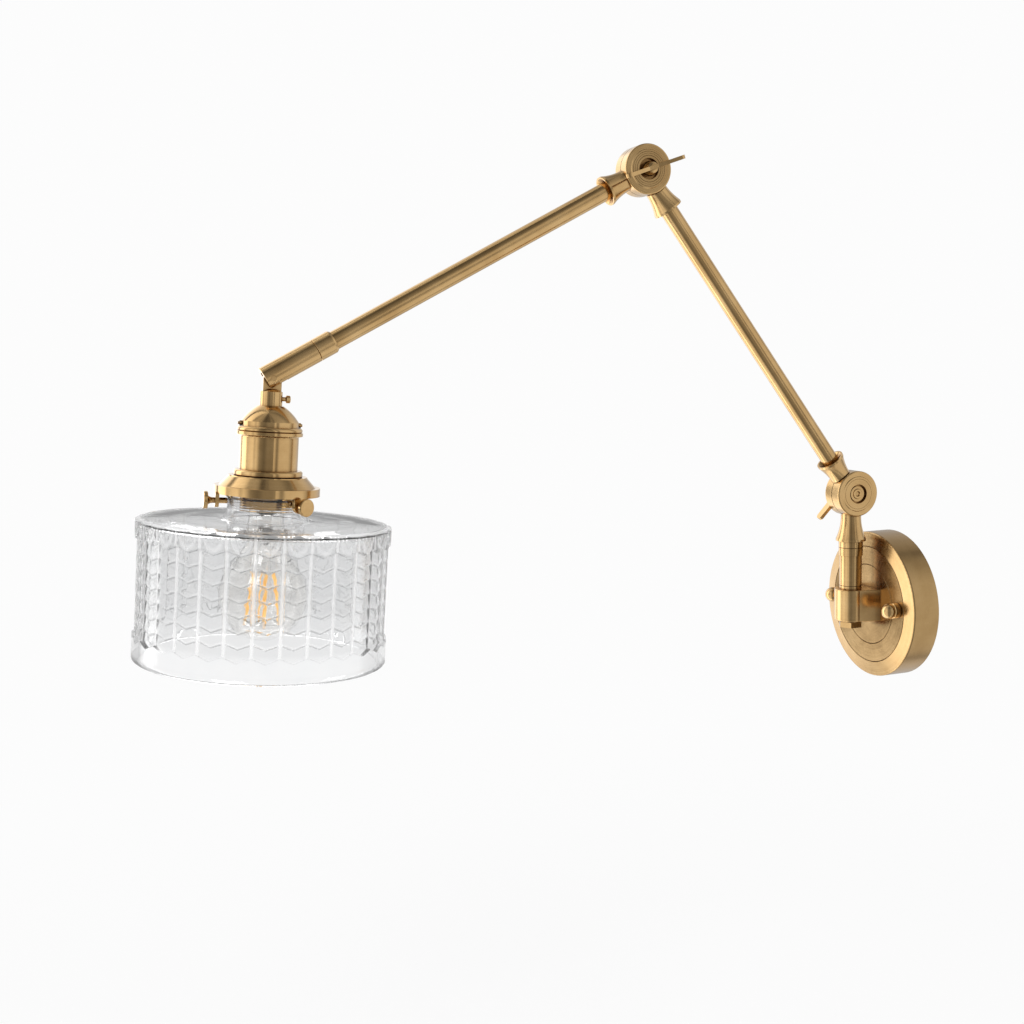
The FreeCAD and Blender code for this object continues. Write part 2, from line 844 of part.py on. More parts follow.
def make_pivot_bolt(label, place, head_side):
    """Bolt through both discs: a low round head with a centre dimple, and a thread for the wing key."""
    body = new_body(label, place)
    shank = size.pivot_diameter / 2
    face = half_washer + gap + size.joint_half_thickness
    floor = face - size.joint_recess_depth
    head = floor + size.pivot_head_height
    tip = floor + size.key_hub_length * 0.6
    turn_profile(body, "bolt", [
        (head_side * (head - 1.0), 0.0),
        (head_side * (head - 1.0), shank * 0.4),
        (head_side * head, shank * 0.55),
        (head_side * head, shank * 0.95),
        (head_side * (head - 0.6), shank * 1.05),
        (head_side * (head - 0.6), size.pivot_head_diameter / 2),
        (head_side * floor, size.pivot_head_diameter / 2),
        (head_side * floor, shank),
        (-head_side * tip, shank),
        (-head_side * tip, 0.0)], about="H_Axis")


def make_wing_key(label, place, side, left_reach, right_reach):
    """Butterfly key: a domed hub in the disc's recess, and one thin blade across it with raised tips."""
    body = new_body(label, place)
    face = half_washer + gap + size.joint_half_thickness
    base = face - size.joint_recess_depth + gap
    hub = size.key_hub_diameter / 2
    top = base + size.key_hub_length
    tip = top + 4.0
    bore = size.pivot_diameter / 2 + clearance
    bore_end = base + size.key_hub_length * 0.62
    turn_profile(body, "hub", [
        (side * base, bore),
        (side * base, hub),
        (side * (face + 1.0), hub),
        (side * top, hub * 0.72),
        (side * (top + 1.0), hub * 0.4),
        (side * (top + 1.0), 0.0),
        (side * bore_end, 0.0),
        (side * bore_end, bore)], about="H_Axis")
    low = face + 1.6
    high = face + size.key_tip_height

    def blade(sketch):
        draw_outline(sketch, [
            (side * low, -hub * 0.8),
            (side * low, hub * 0.8),
            (side * (high - size.key_tip_width), left_reach - 1.0),
            (side * high, left_reach - 1.0, None, -side),
            (side * (tip - 2.4), hub * 0.7),
            (side * (tip - 2.4), -hub * 0.7),
            (side * high, 1.0 - right_reach),
            (side * (high - size.key_tip_width), 1.0 - right_reach, None, -side)])

    extrude(body, "blade", "XZ_Plane", blade, size.key_blade)
    turn_profile(body, "thread_bore", [
        (side * (base - 1.0), 0.0),
        (side * bore_end, 0.0),
        (side * bore_end, bore),
        (side * (base - 1.0), bore)], about="H_Axis", cut=True)


# ---- arms ----

def make_tube(label, place, start, end):
    body = new_body(label, place)
    outer = size.tube_diameter / 2
    rod(body, "tube", outer, start, end, bore=outer - size.tube_wall)


def make_arm_end_sleeve():
    """Short sleeve on the end of the upper arm, bevelled where the tube enters it, with a floor."""
    body = new_body("arm_end_sleeve", KNUCKLE)
    seam = -size.knuckle_length - gap
    back = -(size.knuckle_length + size.sleeve_length)
    outer = size.sleeve_diameter / 2
    tube = size.tube_diameter / 2
    spigot = size.spigot_diameter / 2 + clearance
    turn_profile(body, "sleeve", [
        (spigot, seam),
        (spigot, seam - size.sleeve_floor),
        (tube, seam - size.sleeve_floor),
        (tube, back),
        (outer - size.sleeve_bevel * 0.6, back),
        (outer, back + size.sleeve_bevel),
        (outer, seam - 0.3),
        (outer - 0.3, seam)])


# ---- knuckle ----

def make_knuckle():
    """Slotted end piece: the head's eye swings in its slot, which is open below and at the end."""
    body = new_body("knuckle", KNUCKLE)
    outer = size.sleeve_diameter / 2
    start = -size.knuckle_length
    end = size.knuckle_overhang
    pivot = size.pivot_drop
    eye = size.eye_diameter / 2 + 0.4
    turn_profile(body, "bar", [
        (0.0, start),
        (outer - 0.3, start),
        (outer, start + 0.3),
        (outer, end - 0.3),
        (outer - 0.3, end),
        (0.0, end)])

    # The side view's plane is YZ, with the arm's underside towards -Y of this frame.
    def slot(sketch):
        draw_outline(sketch, [
            (-outer * 2, -eye - size.slot_relief),
            (-pivot, -eye),
            (eye - pivot, 0.0, eye, 1),
            (eye - pivot, end + 1.0),
            (-outer * 2, end + 1.0)])

    def lower_corner(sketch):
        keep = size.knuckle_round
        draw_outline(sketch, [
            (-outer - 1.0, end - keep),
            (-outer, end - keep),
            (keep - outer, end, keep, -1),
            (keep - outer, end + 1.0),
            (-outer - 1.0, end + 1.0)])

    extrude(body, "slot", "YZ_Plane", slot, size.slot_width, cut=True)
    extrude(body, "lower_corner", "YZ_Plane", lower_corner, size.sleeve_diameter * 2, cut=True)
    extrude(body, "pin_hole", "YZ_Plane",
            lambda sketch: draw_circle(sketch, (-pivot, 0.0), size.knuckle_pin_diameter / 2),
            size.sleeve_diameter * 2, cut=True)
    turn_profile(body, "spigot_bore", [
        (0.0, start),
        (size.spigot_diameter / 2, start),
        (size.spigot_diameter / 2, start + size.spigot_length),
        (0.0, start + size.spigot_length)], cut=True)


def make_knuckle_spigot():
    """Hidden spindle that turns in the sleeve, headed inside the arm so that it can't pull out."""
    body = new_body("knuckle_spigot", KNUCKLE)
    seam = -size.knuckle_length
    radius = size.spigot_diameter / 2
    head = size.tube_diameter / 2 - size.tube_wall - 0.3
    shoulder = seam - gap - size.sleeve_floor - gap
    turn_profile(body, "spigot", [
        (1.6, shoulder - 3.0),
        (head, shoulder - 3.0),
        (head, shoulder),
        (radius, shoulder),
        (radius, seam + size.spigot_length),
        (1.6, seam + size.spigot_length)])


def make_knuckle_pin():
    body = new_body("knuckle_pin", Place((0.0, hinge_y, hinge_z), upper_lean))
    half = size.sleeve_diameter / 2 - 0.6
    radius = size.knuckle_pin_diameter / 2
    turn_profile(body, "pin", [
        (-half, 0.0),
        (half, 0.0),
        (half, radius),
        (-half, radius)], about="H_Axis")


# ---- lamp head ----

def make_head_eye():
    """Flat eye that swings on the knuckle pin, with a domed shoulder and a stub for the stem."""
    body = new_body("head_eye", HEAD)
    radius = size.eye_diameter / 2
    bore = size.knuckle_pin_diameter / 2 + clearance

    def tongue(sketch):
        draw_outline(sketch, [
            (-radius, size.stem_start),
            (-radius, 0.0),
            (radius, 0.0, None, 1),
            (radius, size.stem_start)])

    extrude(body, "tongue", "YZ_Plane", tongue, size.eye_thickness)
    shoulder_end = size.stem_start
    turn_profile(body, "shoulder", [
        (0.0, size.shoulder_start),
        (radius - 2.4, size.shoulder_start),
        (radius, shoulder_end, radius, 1),
        (size.stem_diameter / 2 - size.stem_wall, shoulder_end),
        (size.stem_diameter / 2 - size.stem_wall, size.cap_start + 3.0),
        (0.0, size.cap_start + 3.0)])
    extrude(body, "pin_hole", "YZ_Plane", lambda sketch: draw_circle(sketch, (0.0, 0.0), bore),
            size.eye_thickness * 3, cut=True)


def make_head_stem():
    """Sleeve over the eye's stub, with the threaded hole for its side screw."""
    body = new_body("head_stem", HEAD)
    outer = size.stem_diameter / 2
    turn_profile(body, "sleeve", [
        (outer - size.stem_wall, size.stem_start),
        (outer - 0.3, size.stem_start),
        (outer, size.stem_start + 0.3),
        (outer, size.cap_start),
        (outer - size.stem_wall, size.cap_start)])
    hole = size.stem_screw_diameter / 2 + clearance
    extrude(body, "screw_hole", "XZ_Plane",
            lambda sketch: draw_circle(sketch, (0.0, size.stem_screw_place), hole),
            size.stem_diameter, cut=True, both_ways=False, reverse=True)


def head_point(level):
    """Point on the lamp head's axis, at a distance down from the knuckle pin."""
    return (0.0, hinge_y - level * sine(size.head_tilt), hinge_z - level * cosine(size.head_tilt))


def make_stem_screw():
    """Small round-head screw in the side of the stem, towards the wall."""
    place = Place(head_point(size.stem_screw_place), 180.0 - size.head_tilt, 0.0, 90.0)
    body = new_body("stem_screw", place)
    outer = size.stem_diameter / 2
    shank = size.stem_screw_diameter / 2
    knob = size.stem_screw_knob / 2
    tip = outer - size.stem_wall + clearance
    knob_start = outer + size.stem_screw_reach * 0.36
    end = outer + size.stem_screw_reach
    turn_profile(body, "screw", [
        (0.0, tip),
        (shank, tip),
        (shank, knob_start),
        (knob, knob_start + 0.7),
        (knob, end - 0.5),
        (knob - 0.5, end),
        (0.0, end)])


def make_socket_cap():
    """Domed cap of the lampholder, spun from sheet."""
    body = new_body("socket_cap", HEAD)
    neck = size.stem_diameter / 2
    shell = size.shell_diameter / 2 - size.cap_inset
    start = size.cap_start
    skirt = size.cap_skirt_start
    end = size.ring_start
    wall = size.shell_wall
    bore = size.stem_diameter / 2 - size.stem_wall
    turn_profile(body, "dome", [
        (bore, start + wall),
        (bore, start),
        (neck + 1.2, start),
        (shell, skirt, size.dome_radius, 1),
        (shell, end),
        (shell - wall, end),
        (shell - wall, skirt + 0.4),
        (neck + 0.8, start + wall, size.dome_radius, -1)])
    level = (skirt + end) / 2
    extrude(body, "screw_holes", "XZ_Plane",
            lambda sketch: draw_circle(sketch, (0.0, level), size.cap_screw_diameter / 2),
            size.shell_diameter * 2, cut=True)


def make_cap_screws():
    """Two small round-head screws, one each side, that clamp the cap to the shell."""
    body = new_body("cap_screws", HEAD)
    shell = size.shell_diameter / 2 - size.cap_inset
    level = (size.cap_skirt_start + size.ring_start) / 2
    reach = size.cap_screw_length

    def shanks(sketch):
        draw_circle(sketch, (0.0, level), size.cap_screw_diameter / 2)

    def heads(sketch):
        draw_circle(sketch, (0.0, level), size.cap_screw_diameter * 0.85)

    for side in (-1.0, 1.0):
        name = "near" if side > 0 else "far"
        extrude(body, name + "_shank", "XZ_Plane", shanks, reach, start=side * shell)
        extrude(body, name + "_head", "XZ_Plane", heads, size.cap_screw_diameter * 0.75, both_ways=False,
                start=side * shell, reverse=side < 0)


def make_cap_ring():
    """Rolled bead where the cap meets the shell."""
    body = new_body("cap_ring", HEAD)
    outer = size.ring_diameter / 2
    inner = size.shell_diameter / 2 - size.shell_wall
    start = size.ring_start
    end = size.ring_end
    bead = (end - start) / 2
    turn_profile(body, "bead", [
        (inner, start),
        (outer - 1.6, start),
        (outer - 0.4, start + bead - 0.4, 2.4, 1),
        (outer - 0.9, start + bead),
        (outer, start + bead + 0.5),
        (outer, end - 0.6),
        (outer - 0.6, end, 0.6, 1),
        (inner, end)])


def make_socket_shell():
    """Outer brass shell of the lampholder, with a cove under its bead."""
    body = new_body("socket_shell", HEAD)
    outer = size.shell_diameter / 2
    wall = size.shell_wall
    start = size.ring_end
    end = size.shade_ring_start
    turn_profile(body, "shell", [
        (outer - wall, start),
        (outer + 1.0, start),
        (outer, start + 1.2, 1.4, -1),
        (outer, end),
        (outer - wall, end)])


def make_shade_ring():
    """Ring that screws down on the gallery."""
    body = new_body("shade_ring", HEAD)
    outer = size.shade_ring_diameter / 2
    start = size.shade_ring_start
    end = size.gallery_start
    inner = size.skirt_diameter / 2
    turn_profile(body, "ring", [
        (inner, start),
        (outer - 1.6, start),
        (outer, start + 1.6, 1.6, 1),
        (outer, end - 0.8),
        (outer - 0.8, end, 0.8, 1),
        (inner, end)])


def make_socket_skirt():
    """Threaded lower part of the lampholder, which shows through the shade's neck."""
    body = new_body("socket_skirt", HEAD)
    outer = size.skirt_diameter / 2
    inner = outer - size.skirt_wall
    start = size.insert_end - 2.0
    turn_profile(body, "skirt", [
        (inner, start),
        (outer, start),
        (outer, size.skirt_end - 0.5),
        (outer - 0.5, size.skirt_end),
        (inner, size.skirt_end)])


def gallery_underside(radius):
    """Level of the cone's underside at a radius."""
    run = (size.gallery_cone_diameter - size.gallery_disc_diameter) / 2
    slope = (size.flange_start - size.gallery_start) / run
    inner = size.gallery_disc_diameter / 2 - size.gallery_wall * 0.5
    return size.gallery_start + size.gallery_wall + (radius - inner) * slope


def make_gallery():
    """Shade carrier of sheet brass: disc, cone and deep flange, with three tapped ears below it."""
    body = new_body("gallery", HEAD)
    wall = size.gallery_wall
    disc = size.gallery_disc_diameter / 2
    cone = size.gallery_cone_diameter / 2
    flange = size.flange_diameter / 2
    hole = size.skirt_diameter / 2
    start = size.gallery_start
    flange_start = size.flange_start
    end = size.flange_end
    turn_profile(body, "dish", [
        (hole, start),
        (disc, start),
        (disc, start + 0.7),
        (cone, flange_start),
        (flange, flange_start),
        (flange, end),
        (flange - wall, end),
        (flange - wall, flange_start + wall),
        (cone - wall * 0.5, flange_start + wall),
        (disc - wall * 0.5, start + wall),
        (hole, start + wall)])
    half_width = size.ear_width / 2
    middle = size.shade_screw_place

    def ear(sketch):
        draw_outline(sketch, [
            (-half_width, end - 2.0),
            (half_width, end - 2.0),
            (half_width, middle),
            (-half_width, middle, None, 1)])

    ear_face = flange - wall * 0.5
    tab = extrude(body, "ear", "XZ_Plane", ear, size.ear_thickness, both_ways=False, start=-ear_face)
    hole_radius = size.shade_screw_diameter / 2 + clearance
    tapping = extrude(body, "ear_hole", "XZ_Plane",
                      lambda sketch: draw_circle(sketch, (0.0, middle), hole_radius),
                      size.ear_thickness * 4, cut=True, start=-ear_face)
    repeat_around(body, [tab, tapping], "ears", 3)


def make_gallery_nut():
    """Ring under the gallery that clamps it on the skirt."""
    body = new_body("gallery_nut", HEAD)
    start = size.gallery_start + size.gallery_wall
    rod(body, "ring", size.skirt_diameter / 2 + 3.0, start, start + 3.0, bore=size.skirt_diameter / 2)


def make_shade_screw(number):
    """Thumbscrew: a flat round head, a flared neck and a shaft that grips the glass under its lip."""
    place = Place(head_point(size.shade_screw_place), 180.0 - size.head_tilt, 120.0 * (number - 1), -90.0)
    body = new_body("shade_screw_%d" % number, place)
    shank = size.shade_screw_diameter / 2
    head = size.shade_screw_head / 2
    reach = size.shade_screw_reach
    head_start = reach - size.shade_screw_head_height
    tip = size.neck_diameter / 2 + size.shade_screw_grip_gap
    neck_start = head_start - size.shade_screw_neck
    turn_profile(body, "screw", [
        (0.0, tip),
        (shank, tip),
        (shank, neck_start),
        (shank + 1.6, head_start, 4.6, -1),
        (head - 0.3, head_start),
        (head, head_start + 0.3),
        (head, reach - 0.5),
        (head - 0.5, reach),
        (0.0, reach)])


def make_socket_insert():
    """Moulded insulator that carries the screw shell."""
    body = new_body("socket_insert", HEAD)
    outer = size.skirt_diameter / 2 - size.skirt_wall
    start = size.insert_start
    end = size.insert_end
    turn_profile(body, "block", [
        (3.0, start),
        (outer - 1.0, start),
        (outer, start + 1.0),
        (outer, end),
        (3.0, end)])
    extrude(body, "terminal_slots", "XZ_Plane",
            lambda sketch: draw_outline(sketch, [
                (outer * 0.5, start - 1.0),
                (outer * 2, start - 1.0),
                (outer * 2, start + 7.0),
                (outer * 0.5, start + 7.0)]),
            outer * 0.7, cut=True)


def make_screw_shell():
    """Threaded metal shell that takes the bulb's cap."""
    body = new_body("screw_shell", HEAD)
    outer = size.screw_shell_diameter / 2
    wall = size.screw_shell_wall
    start = size.insert_end
    end = size.skirt_end - 1.5
    turn_profile(body, "shell", [
        (6.0, start),
        (outer, start),
        (outer, end - 1.5),
        (size.skirt_diameter / 2 - size.skirt_wall, end - 1.5),
        (size.skirt_diameter / 2 - size.skirt_wall, end),
        (outer - wall, end),
        (outer - wall, start + wall),
        (6.0, start + wall)])


def make_centre_contact():
    """Sprung centre contact in the bottom of the holder."""
    body = new_body("centre_contact", HEAD)
    start = size.insert_end
    turn_profile(body, "button", [
        (0.0, start),
        (4.0, start),
        (4.0, start + 0.6),
        (2.6, start + size.contact_height),
        (0.0, start + size.contact_height)])


def make_glass_shade():
    """Pressed glass drum: fitter lip in the gallery, neck, flat shoulder, ribbed wall and two bands."""
    body = new_body("glass_shade", HEAD)
    glass = size.glass_thickness
    lip = size.neck_lip_diameter / 2
    neck = size.neck_diameter / 2
    lip_end = size.neck_lip_end
    lip_start = gallery_underside(lip - 1.2)
    top = size.shade_top
    bottom = size.shade_bottom
    wall = size.shade_diameter / 2
    band = wall + size.band_proud
    corner = size.shade_corner
    blend = size.shade_neck_blend
    top_band = top + corner + size.top_band_height
    bottom_band = bottom - size.bottom_band_height
    bore = neck - glass
    turn_profile(body, "drum", [
        (bore, lip_start),
        (lip - 1.2, lip_start),
        (lip, gallery_underside(lip)),
        (lip, lip_end),
        (neck, lip_end + 1.2),
        (neck, top - blend),
        (neck + blend, top, blend, -1),
        (band - corner, top + 0.6),
        (band, top + 0.6 + corner, corner, 1),
        (band, top_band),
        (wall, top_band + size.band_proud),
        (wall, bottom_band - size.band_proud),
        (band, bottom_band),
        (band, bottom - 1.0),
        (band - 1.0, bottom),
        (wall - glass, bottom),
        (wall - glass, top + glass + corner),
        (wall - glass - corner * 0.6, top + glass + 0.6, corner * 0.7, -1),
        (neck + blend, top + glass),
        (bore, top - blend, blend + glass, 1)])
    middle = wall + size.rib_proud - size.rib_radius

    def rib(sketch):
        centre = (middle * cosine(size.rib_phase), middle * sine(size.rib_phase))
        draw_circle(sketch, centre, size.rib_radius)

    bar = extrude(body, "rib", "XY_Plane", rib, bottom_band - top_band, start=top_band, both_ways=False)
    repeat_around(body, [bar], "ribs", SHADE_RIBS)


def make_bulb_glass():
    """Clear envelope: a ball end that runs into a narrow neck inside the cap."""
    body = new_body("bulb_glass", HEAD)
    wall = size.bulb_glass_wall
    radius = size.bulb_diameter / 2
    neck = size.bulb_neck_diameter / 2
    tip = size.bulb_tip
    drop = radius * 0.77
    shoulder = tip - radius - drop
    neck_start = size.bulb_cap_end - size.bulb_neck_entry
    wide = root(radius * radius - drop * drop)
    inner_radius = radius - wall
    inner_wide = root(inner_radius * inner_radius - drop * drop)
    flare = size.bulb_flare_radius
    turn_profile(body, "envelope", [
        (neck - wall, neck_start),
        (neck, neck_start),
        (neck, size.bulb_cap_end + 1.0),
        (wide, shoulder, flare, -1),
        (0.0, tip, radius, 1),
        (0.0, tip - wall),
        (inner_wide, shoulder, inner_radius, -1),
        (neck - wall, size.bulb_cap_end + 1.0, flare + wall, 1)])


def make_bulb_cap():
    """Thin screw cap round the envelope's neck."""
    body = new_body("bulb_cap", HEAD)
    outer = size.bulb_cap_diameter / 2
    neck = size.bulb_neck_diameter / 2
    start = size.bulb_cap_start
    end = size.bulb_cap_end
    turn_profile(body, "cap", [
        (neck - 2.0, start),
        (outer - 1.6, start),
        (outer, start + 1.6),
        (outer, end),
        (neck, end),
        (neck, start + 2.0),
        (neck - 2.0, start + 2.0)])


def make_bulb_insulator():
    body = new_body("bulb_insulator", HEAD)
    neck = size.bulb_neck_diameter / 2
    start = size.bulb_cap_start
    tip = size.insert_end + size.contact_height + 2.2
    turn_profile(body, "cone", [
        (0.0, tip),
        (5.0, tip),
        (neck - 2.0, start),
        (neck - 2.0, start + 1.0),
        (0.0, start + 1.0)])


def make_bulb_contact():
    body = new_body("bulb_contact", HEAD)
    tip = size.insert_end + size.contact_height
    rod(body, "button", as_size(4.6), tip, tip + 2.2)


def make_bulb_stem():
    """Glass mount: a flared foot sealed to the neck, and the rod that carries the filaments."""
    body = new_body("bulb_stem", HEAD)
    neck = size.bulb_neck_diameter / 2 - size.bulb_glass_wall
    foot = size.bulb_cap_end - size.bulb_neck_entry
    radius = size.bulb_stem_diameter / 2
    slim = size.bulb_rod_diameter / 2
    turn_profile(body, "mount", [
        (0.0, foot),
        (neck, foot),
        (neck, foot + 0.8),
        (radius, foot + size.bulb_foot_height, 10.0, -1),
        (radius, size.bulb_stem_end - 4.0),
        (slim, size.bulb_stem_end),
        (slim, size.filament_end + 2.0),
        (0.0, size.filament_end + 2.0)])


def make_filament_wires():
    """Two wire crosses on the rod that hold the filaments by their ends."""
    body = new_body("filament_wires", HEAD)
    slim = size.bulb_rod_diameter / 2
    half = size.filament_wire / 2

    def spoke(circle):
        def draw(sketch):
            draw_outline(sketch, [
                (slim, -half),
                (circle / 2 + half, -half),
                (circle / 2 + half, half),
                (slim, half)])
        return draw

    upper = spoke(size.filament_top_circle)
    lower = spoke(size.filament_bottom_circle)
    for name, draw, level in (("upper", upper, size.filament_start), ("lower", lower, size.filament_end)):
        below = size.filament_wire if name == "upper" else as_size(0.0)
        rod(body, name + "_hub", slim + size.filament_wire, level - below, level - below + size.filament_wire,
            bore=slim)
        feature = extrude(body, name + "_spoke", "XY_Plane", draw, size.filament_wire, both_ways=False,
                          start=level - below)
        repeat_around(body, [feature], name + "_spokes", 4)


def make_filaments():
    """Four filament sticks that spread towards the bulb's tip."""
    body = new_body("filaments", HEAD)
    radius = size.filament_diameter / 2
    sections = []
    for name, circle, level in (("top", size.filament_top_circle, size.filament_start),
                                ("bottom", size.filament_bottom_circle, size.filament_end)):
        sketch = new_sketch(body, "XY_Plane", name)
        sketch.setExpression("AttachmentOffset.Base.z", level.text)
        draw_circle(sketch, (circle / 2, 0.0), radius)
        sections.append(sketch)
    stick = body.newObject("PartDesign::AdditiveLoft", "filaments_stick")
    stick.Profile = sections[0]
    stick.Sections = [sections[1]]
    stick.Ruled = True
    repeat_around(body, [stick], "sticks", 4)


# ---- the whole lamp ----

def make_lamp():
    make_wall_plate()
    make_mounting_bracket()
    make_canopy_studs()
    make_ball_nut("ball_nut_right", 1.0)
    make_ball_nut("ball_nut_left", -1.0)
    make_swivel_lug()
    make_lug_bush()
    make_lug_screws()
    make_terminal_block()
    make_earth_screw()
    make_post_spindle()
    make_swivel_washer()
    make_post_tube()
    make_post_collar()
    make_lock_washer()
    make_post_nut()
    make_joint_half("lower_joint_front", LOWER_JOINT, 1.0, size.post_ferrule_lip_diameter,
                    size.post_ferrule_reach, size.post_diameter / 2, size.post_seat)
    make_arm_joint_half("lower_joint_rear", LOWER_ARM, -1.0)
    make_arm_joint_half("upper_joint_rear", LOWER_ARM_TOP, -1.0)
    make_arm_joint_half("upper_joint_front", UPPER_ARM, 1.0)
    make_friction_washer("lower_friction_washer", LOWER_JOINT)
    make_friction_washer("upper_friction_washer", UPPER_ARM)
    make_pivot_bolt("lower_pivot_bolt", LOWER_JOINT, 1.0)
    make_pivot_bolt("upper_pivot_bolt", UPPER_ARM, -1.0)
    lower_key = Place((0.0, post_y, size.joint_height), size.lower_key_angle)
    make_wing_key("lower_wing_key", lower_key, -1.0, size.key_long_reach, size.key_short_reach)
    upper_key = Place((0.0, elbow_y, elbow_z), size.upper_key_angle)
    make_wing_key("upper_wing_key", upper_key, 1.0, size.key_reach, size.key_reach)
    tube_start = size.ferrule_reach - size.tube_seat
    make_tube("lower_arm_tube", LOWER_ARM, tube_start, size.lower_arm_length - tube_start)
    make_tube("upper_arm_tube", UPPER_ARM, tube_start,
              size.upper_arm_length - size.knuckle_length - gap - size.sleeve_floor)
    make_arm_end_sleeve()
    make_knuckle()
    make_knuckle_spigot()
    make_knuckle_pin()
    make_head_eye()
    make_head_stem()
    make_stem_screw()
    make_socket_cap()
    make_cap_screws()
    make_cap_ring()
    make_socket_shell()
    make_shade_ring()
    make_socket_skirt()
    make_gallery()
    make_gallery_nut()
    for number in (1, 2, 3):
        make_shade_screw(number)
    make_socket_insert()
    make_screw_shell()
    make_centre_contact()
    make_glass_shade()
    make_bulb_glass()
    make_bulb_cap()
    make_bulb_insulator()
    make_bulb_contact()
    make_bulb_stem()
    make_filament_wires()
    make_filaments()


make_lamp()
doc.recompute()

failed = [item.Label for item in doc.Objects if "Invalid" in item.State or "Error" in item.State]
sub_parts = [item for item in doc.Objects if item.TypeId == "PartDesign::Body"]
failed += [item.Label for item in sub_parts if item.Shape.isNull() or not item.Shape.isValid()]
if failed:
    raise RuntimeError("these objects did not build: " + ", ".join(failed))

os.makedirs("parts", exist_ok=True)
for item in sub_parts:
    item.Shape.exportStep("parts/%s.step" % item.Label)
print("%d sub-parts written" % len(sub_parts))
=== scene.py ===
import math

import bmesh
import bpy
from mathutils import Matrix, Vector


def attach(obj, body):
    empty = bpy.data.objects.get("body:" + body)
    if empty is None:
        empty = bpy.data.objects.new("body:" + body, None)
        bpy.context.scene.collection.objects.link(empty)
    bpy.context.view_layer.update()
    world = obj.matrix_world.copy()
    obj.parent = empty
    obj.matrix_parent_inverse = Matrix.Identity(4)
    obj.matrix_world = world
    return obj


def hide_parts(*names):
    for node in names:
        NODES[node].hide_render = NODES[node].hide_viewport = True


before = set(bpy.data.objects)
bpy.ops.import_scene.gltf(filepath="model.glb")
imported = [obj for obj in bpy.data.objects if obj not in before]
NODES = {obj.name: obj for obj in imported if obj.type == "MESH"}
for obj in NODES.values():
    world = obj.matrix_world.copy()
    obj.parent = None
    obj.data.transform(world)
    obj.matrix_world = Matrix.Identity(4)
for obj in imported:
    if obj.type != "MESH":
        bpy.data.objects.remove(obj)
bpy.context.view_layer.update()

# ---- where things stand (metres; the same frame as the CAD) ----

POST_Y = -0.0413
JOINT_Z = 0.0937
LOWER_ARM = 0.312
UPPER_ARM = 0.3171
HINGE_DROP = 0.002
LOWER_LEAN = math.radians(35.8)
UPPER_LEAN = math.radians(116.7)
HEAD_TILT = math.radians(5.4)

X_AXIS = Vector((1.0, 0.0, 0.0))
Y_AXIS = Vector((0.0, 1.0, 0.0))
Z_AXIS = Vector((0.0, 0.0, 1.0))


def reach(point, length, lean):
    """The point at a length from another, along a line that leans from upright towards -Y."""
    return point + Vector((0.0, -math.sin(lean), math.cos(lean))) * length


WALL_CENTRE = Vector((0.0, 0.0, 0.0))
POST_FOOT = Vector((0.0, POST_Y, 0.0))
LOWER_PIVOT = Vector((0.0, POST_Y, JOINT_Z))
UPPER_PIVOT = reach(LOWER_PIVOT, LOWER_ARM, LOWER_LEAN)
ARM_END = reach(UPPER_PIVOT, UPPER_ARM, UPPER_LEAN)
ARM_DOWN = Vector((0.0, -math.cos(UPPER_LEAN), -math.sin(UPPER_LEAN)))
HINGE = ARM_END + ARM_DOWN * HINGE_DROP
LOWER_AXIS = (UPPER_PIVOT - LOWER_PIVOT).normalized()
UPPER_AXIS = (ARM_END - UPPER_PIVOT).normalized()
HEAD_AXIS = Vector((0.0, -math.sin(HEAD_TILT), -math.cos(HEAD_TILT)))
HEAD_SIDE = Vector((0.0, -math.cos(HEAD_TILT), math.sin(HEAD_TILT)))


def head_point(level, radius, angle):
    """Point in the lamp head: level down its axis, radius out from it, angle from +X. In millimetres."""
    out = X_AXIS * math.cos(angle) + HEAD_SIDE * math.sin(angle)
    return HINGE + (HEAD_AXIS * level + out * radius) / 1000.0


# ---- nodes ----

def add(tree, kind, **values):
    node = tree.nodes.new("ShaderNode" + kind)
    for key, value in values.items():
        setattr(node, key, value)
    return node


def put(tree, source, socket):
    """Feed a socket from another one, or set it to a number, vector or colour."""
    if isinstance(source, bpy.types.NodeSocket):
        tree.links.new(source, socket)
    else:
        socket.default_value = source


def feed(tree, node, sockets):
    """Feed or set the sockets of a node that the keys name."""
    for key, source in sockets.items():
        put(tree, source, node.inputs[key])


def math_of(tree, operation, *values):
    node = add(tree, "Math", operation=operation)
    for socket, value in zip(node.inputs, values):
        put(tree, value, socket)
    return node.outputs[0]


def vector_of(tree, operation, *values):
    node = add(tree, "VectorMath", operation=operation)
    for socket, value in zip(node.inputs, values):
        put(tree, value, socket)
    return node.outputs["Value" if operation in ("DOT_PRODUCT", "LENGTH", "DISTANCE") else "Vector"]


def scaled(tree, vector, factor):
    node = add(tree, "VectorMath", operation="SCALE")
    put(tree, vector, node.inputs[0])
    put(tree, factor, node.inputs["Scale"])
    return node.outputs["Vector"]


def mapped(tree, value, low, high, to_low=0.0, to_high=1.0, interpolation="LINEAR"):
    node = add(tree, "MapRange", interpolation_type=interpolation)
    feed(tree, node, {"Value": value, "From Min": low, "From Max": high, "To Min": to_low, "To Max": to_high})
    return node.outputs["Result"]


def ramp(tree, value, stops):
    """Colour by a value from 0 to 1. Each stop is (value, colour)."""
    node = add(tree, "ValToRGB")
    elements = node.color_ramp.elements
    while len(elements) < len(stops):
        elements.new(0.5)
    for element, (position, color) in zip(elements, stops):
        element.position = position
        element.color = color
    tree.links.new(value, node.inputs["Fac"])
    return node.outputs["Color"]


def mix_colors(tree, factor, first, second, blend="MIX"):
    mix = add(tree, "Mix", data_type="RGBA", blend_type=blend)
    for source, socket in ((factor, mix.inputs["Factor"]), (first, mix.inputs[6]), (second, mix.inputs[7])):
        put(tree, source, socket)
    return mix.outputs[2]


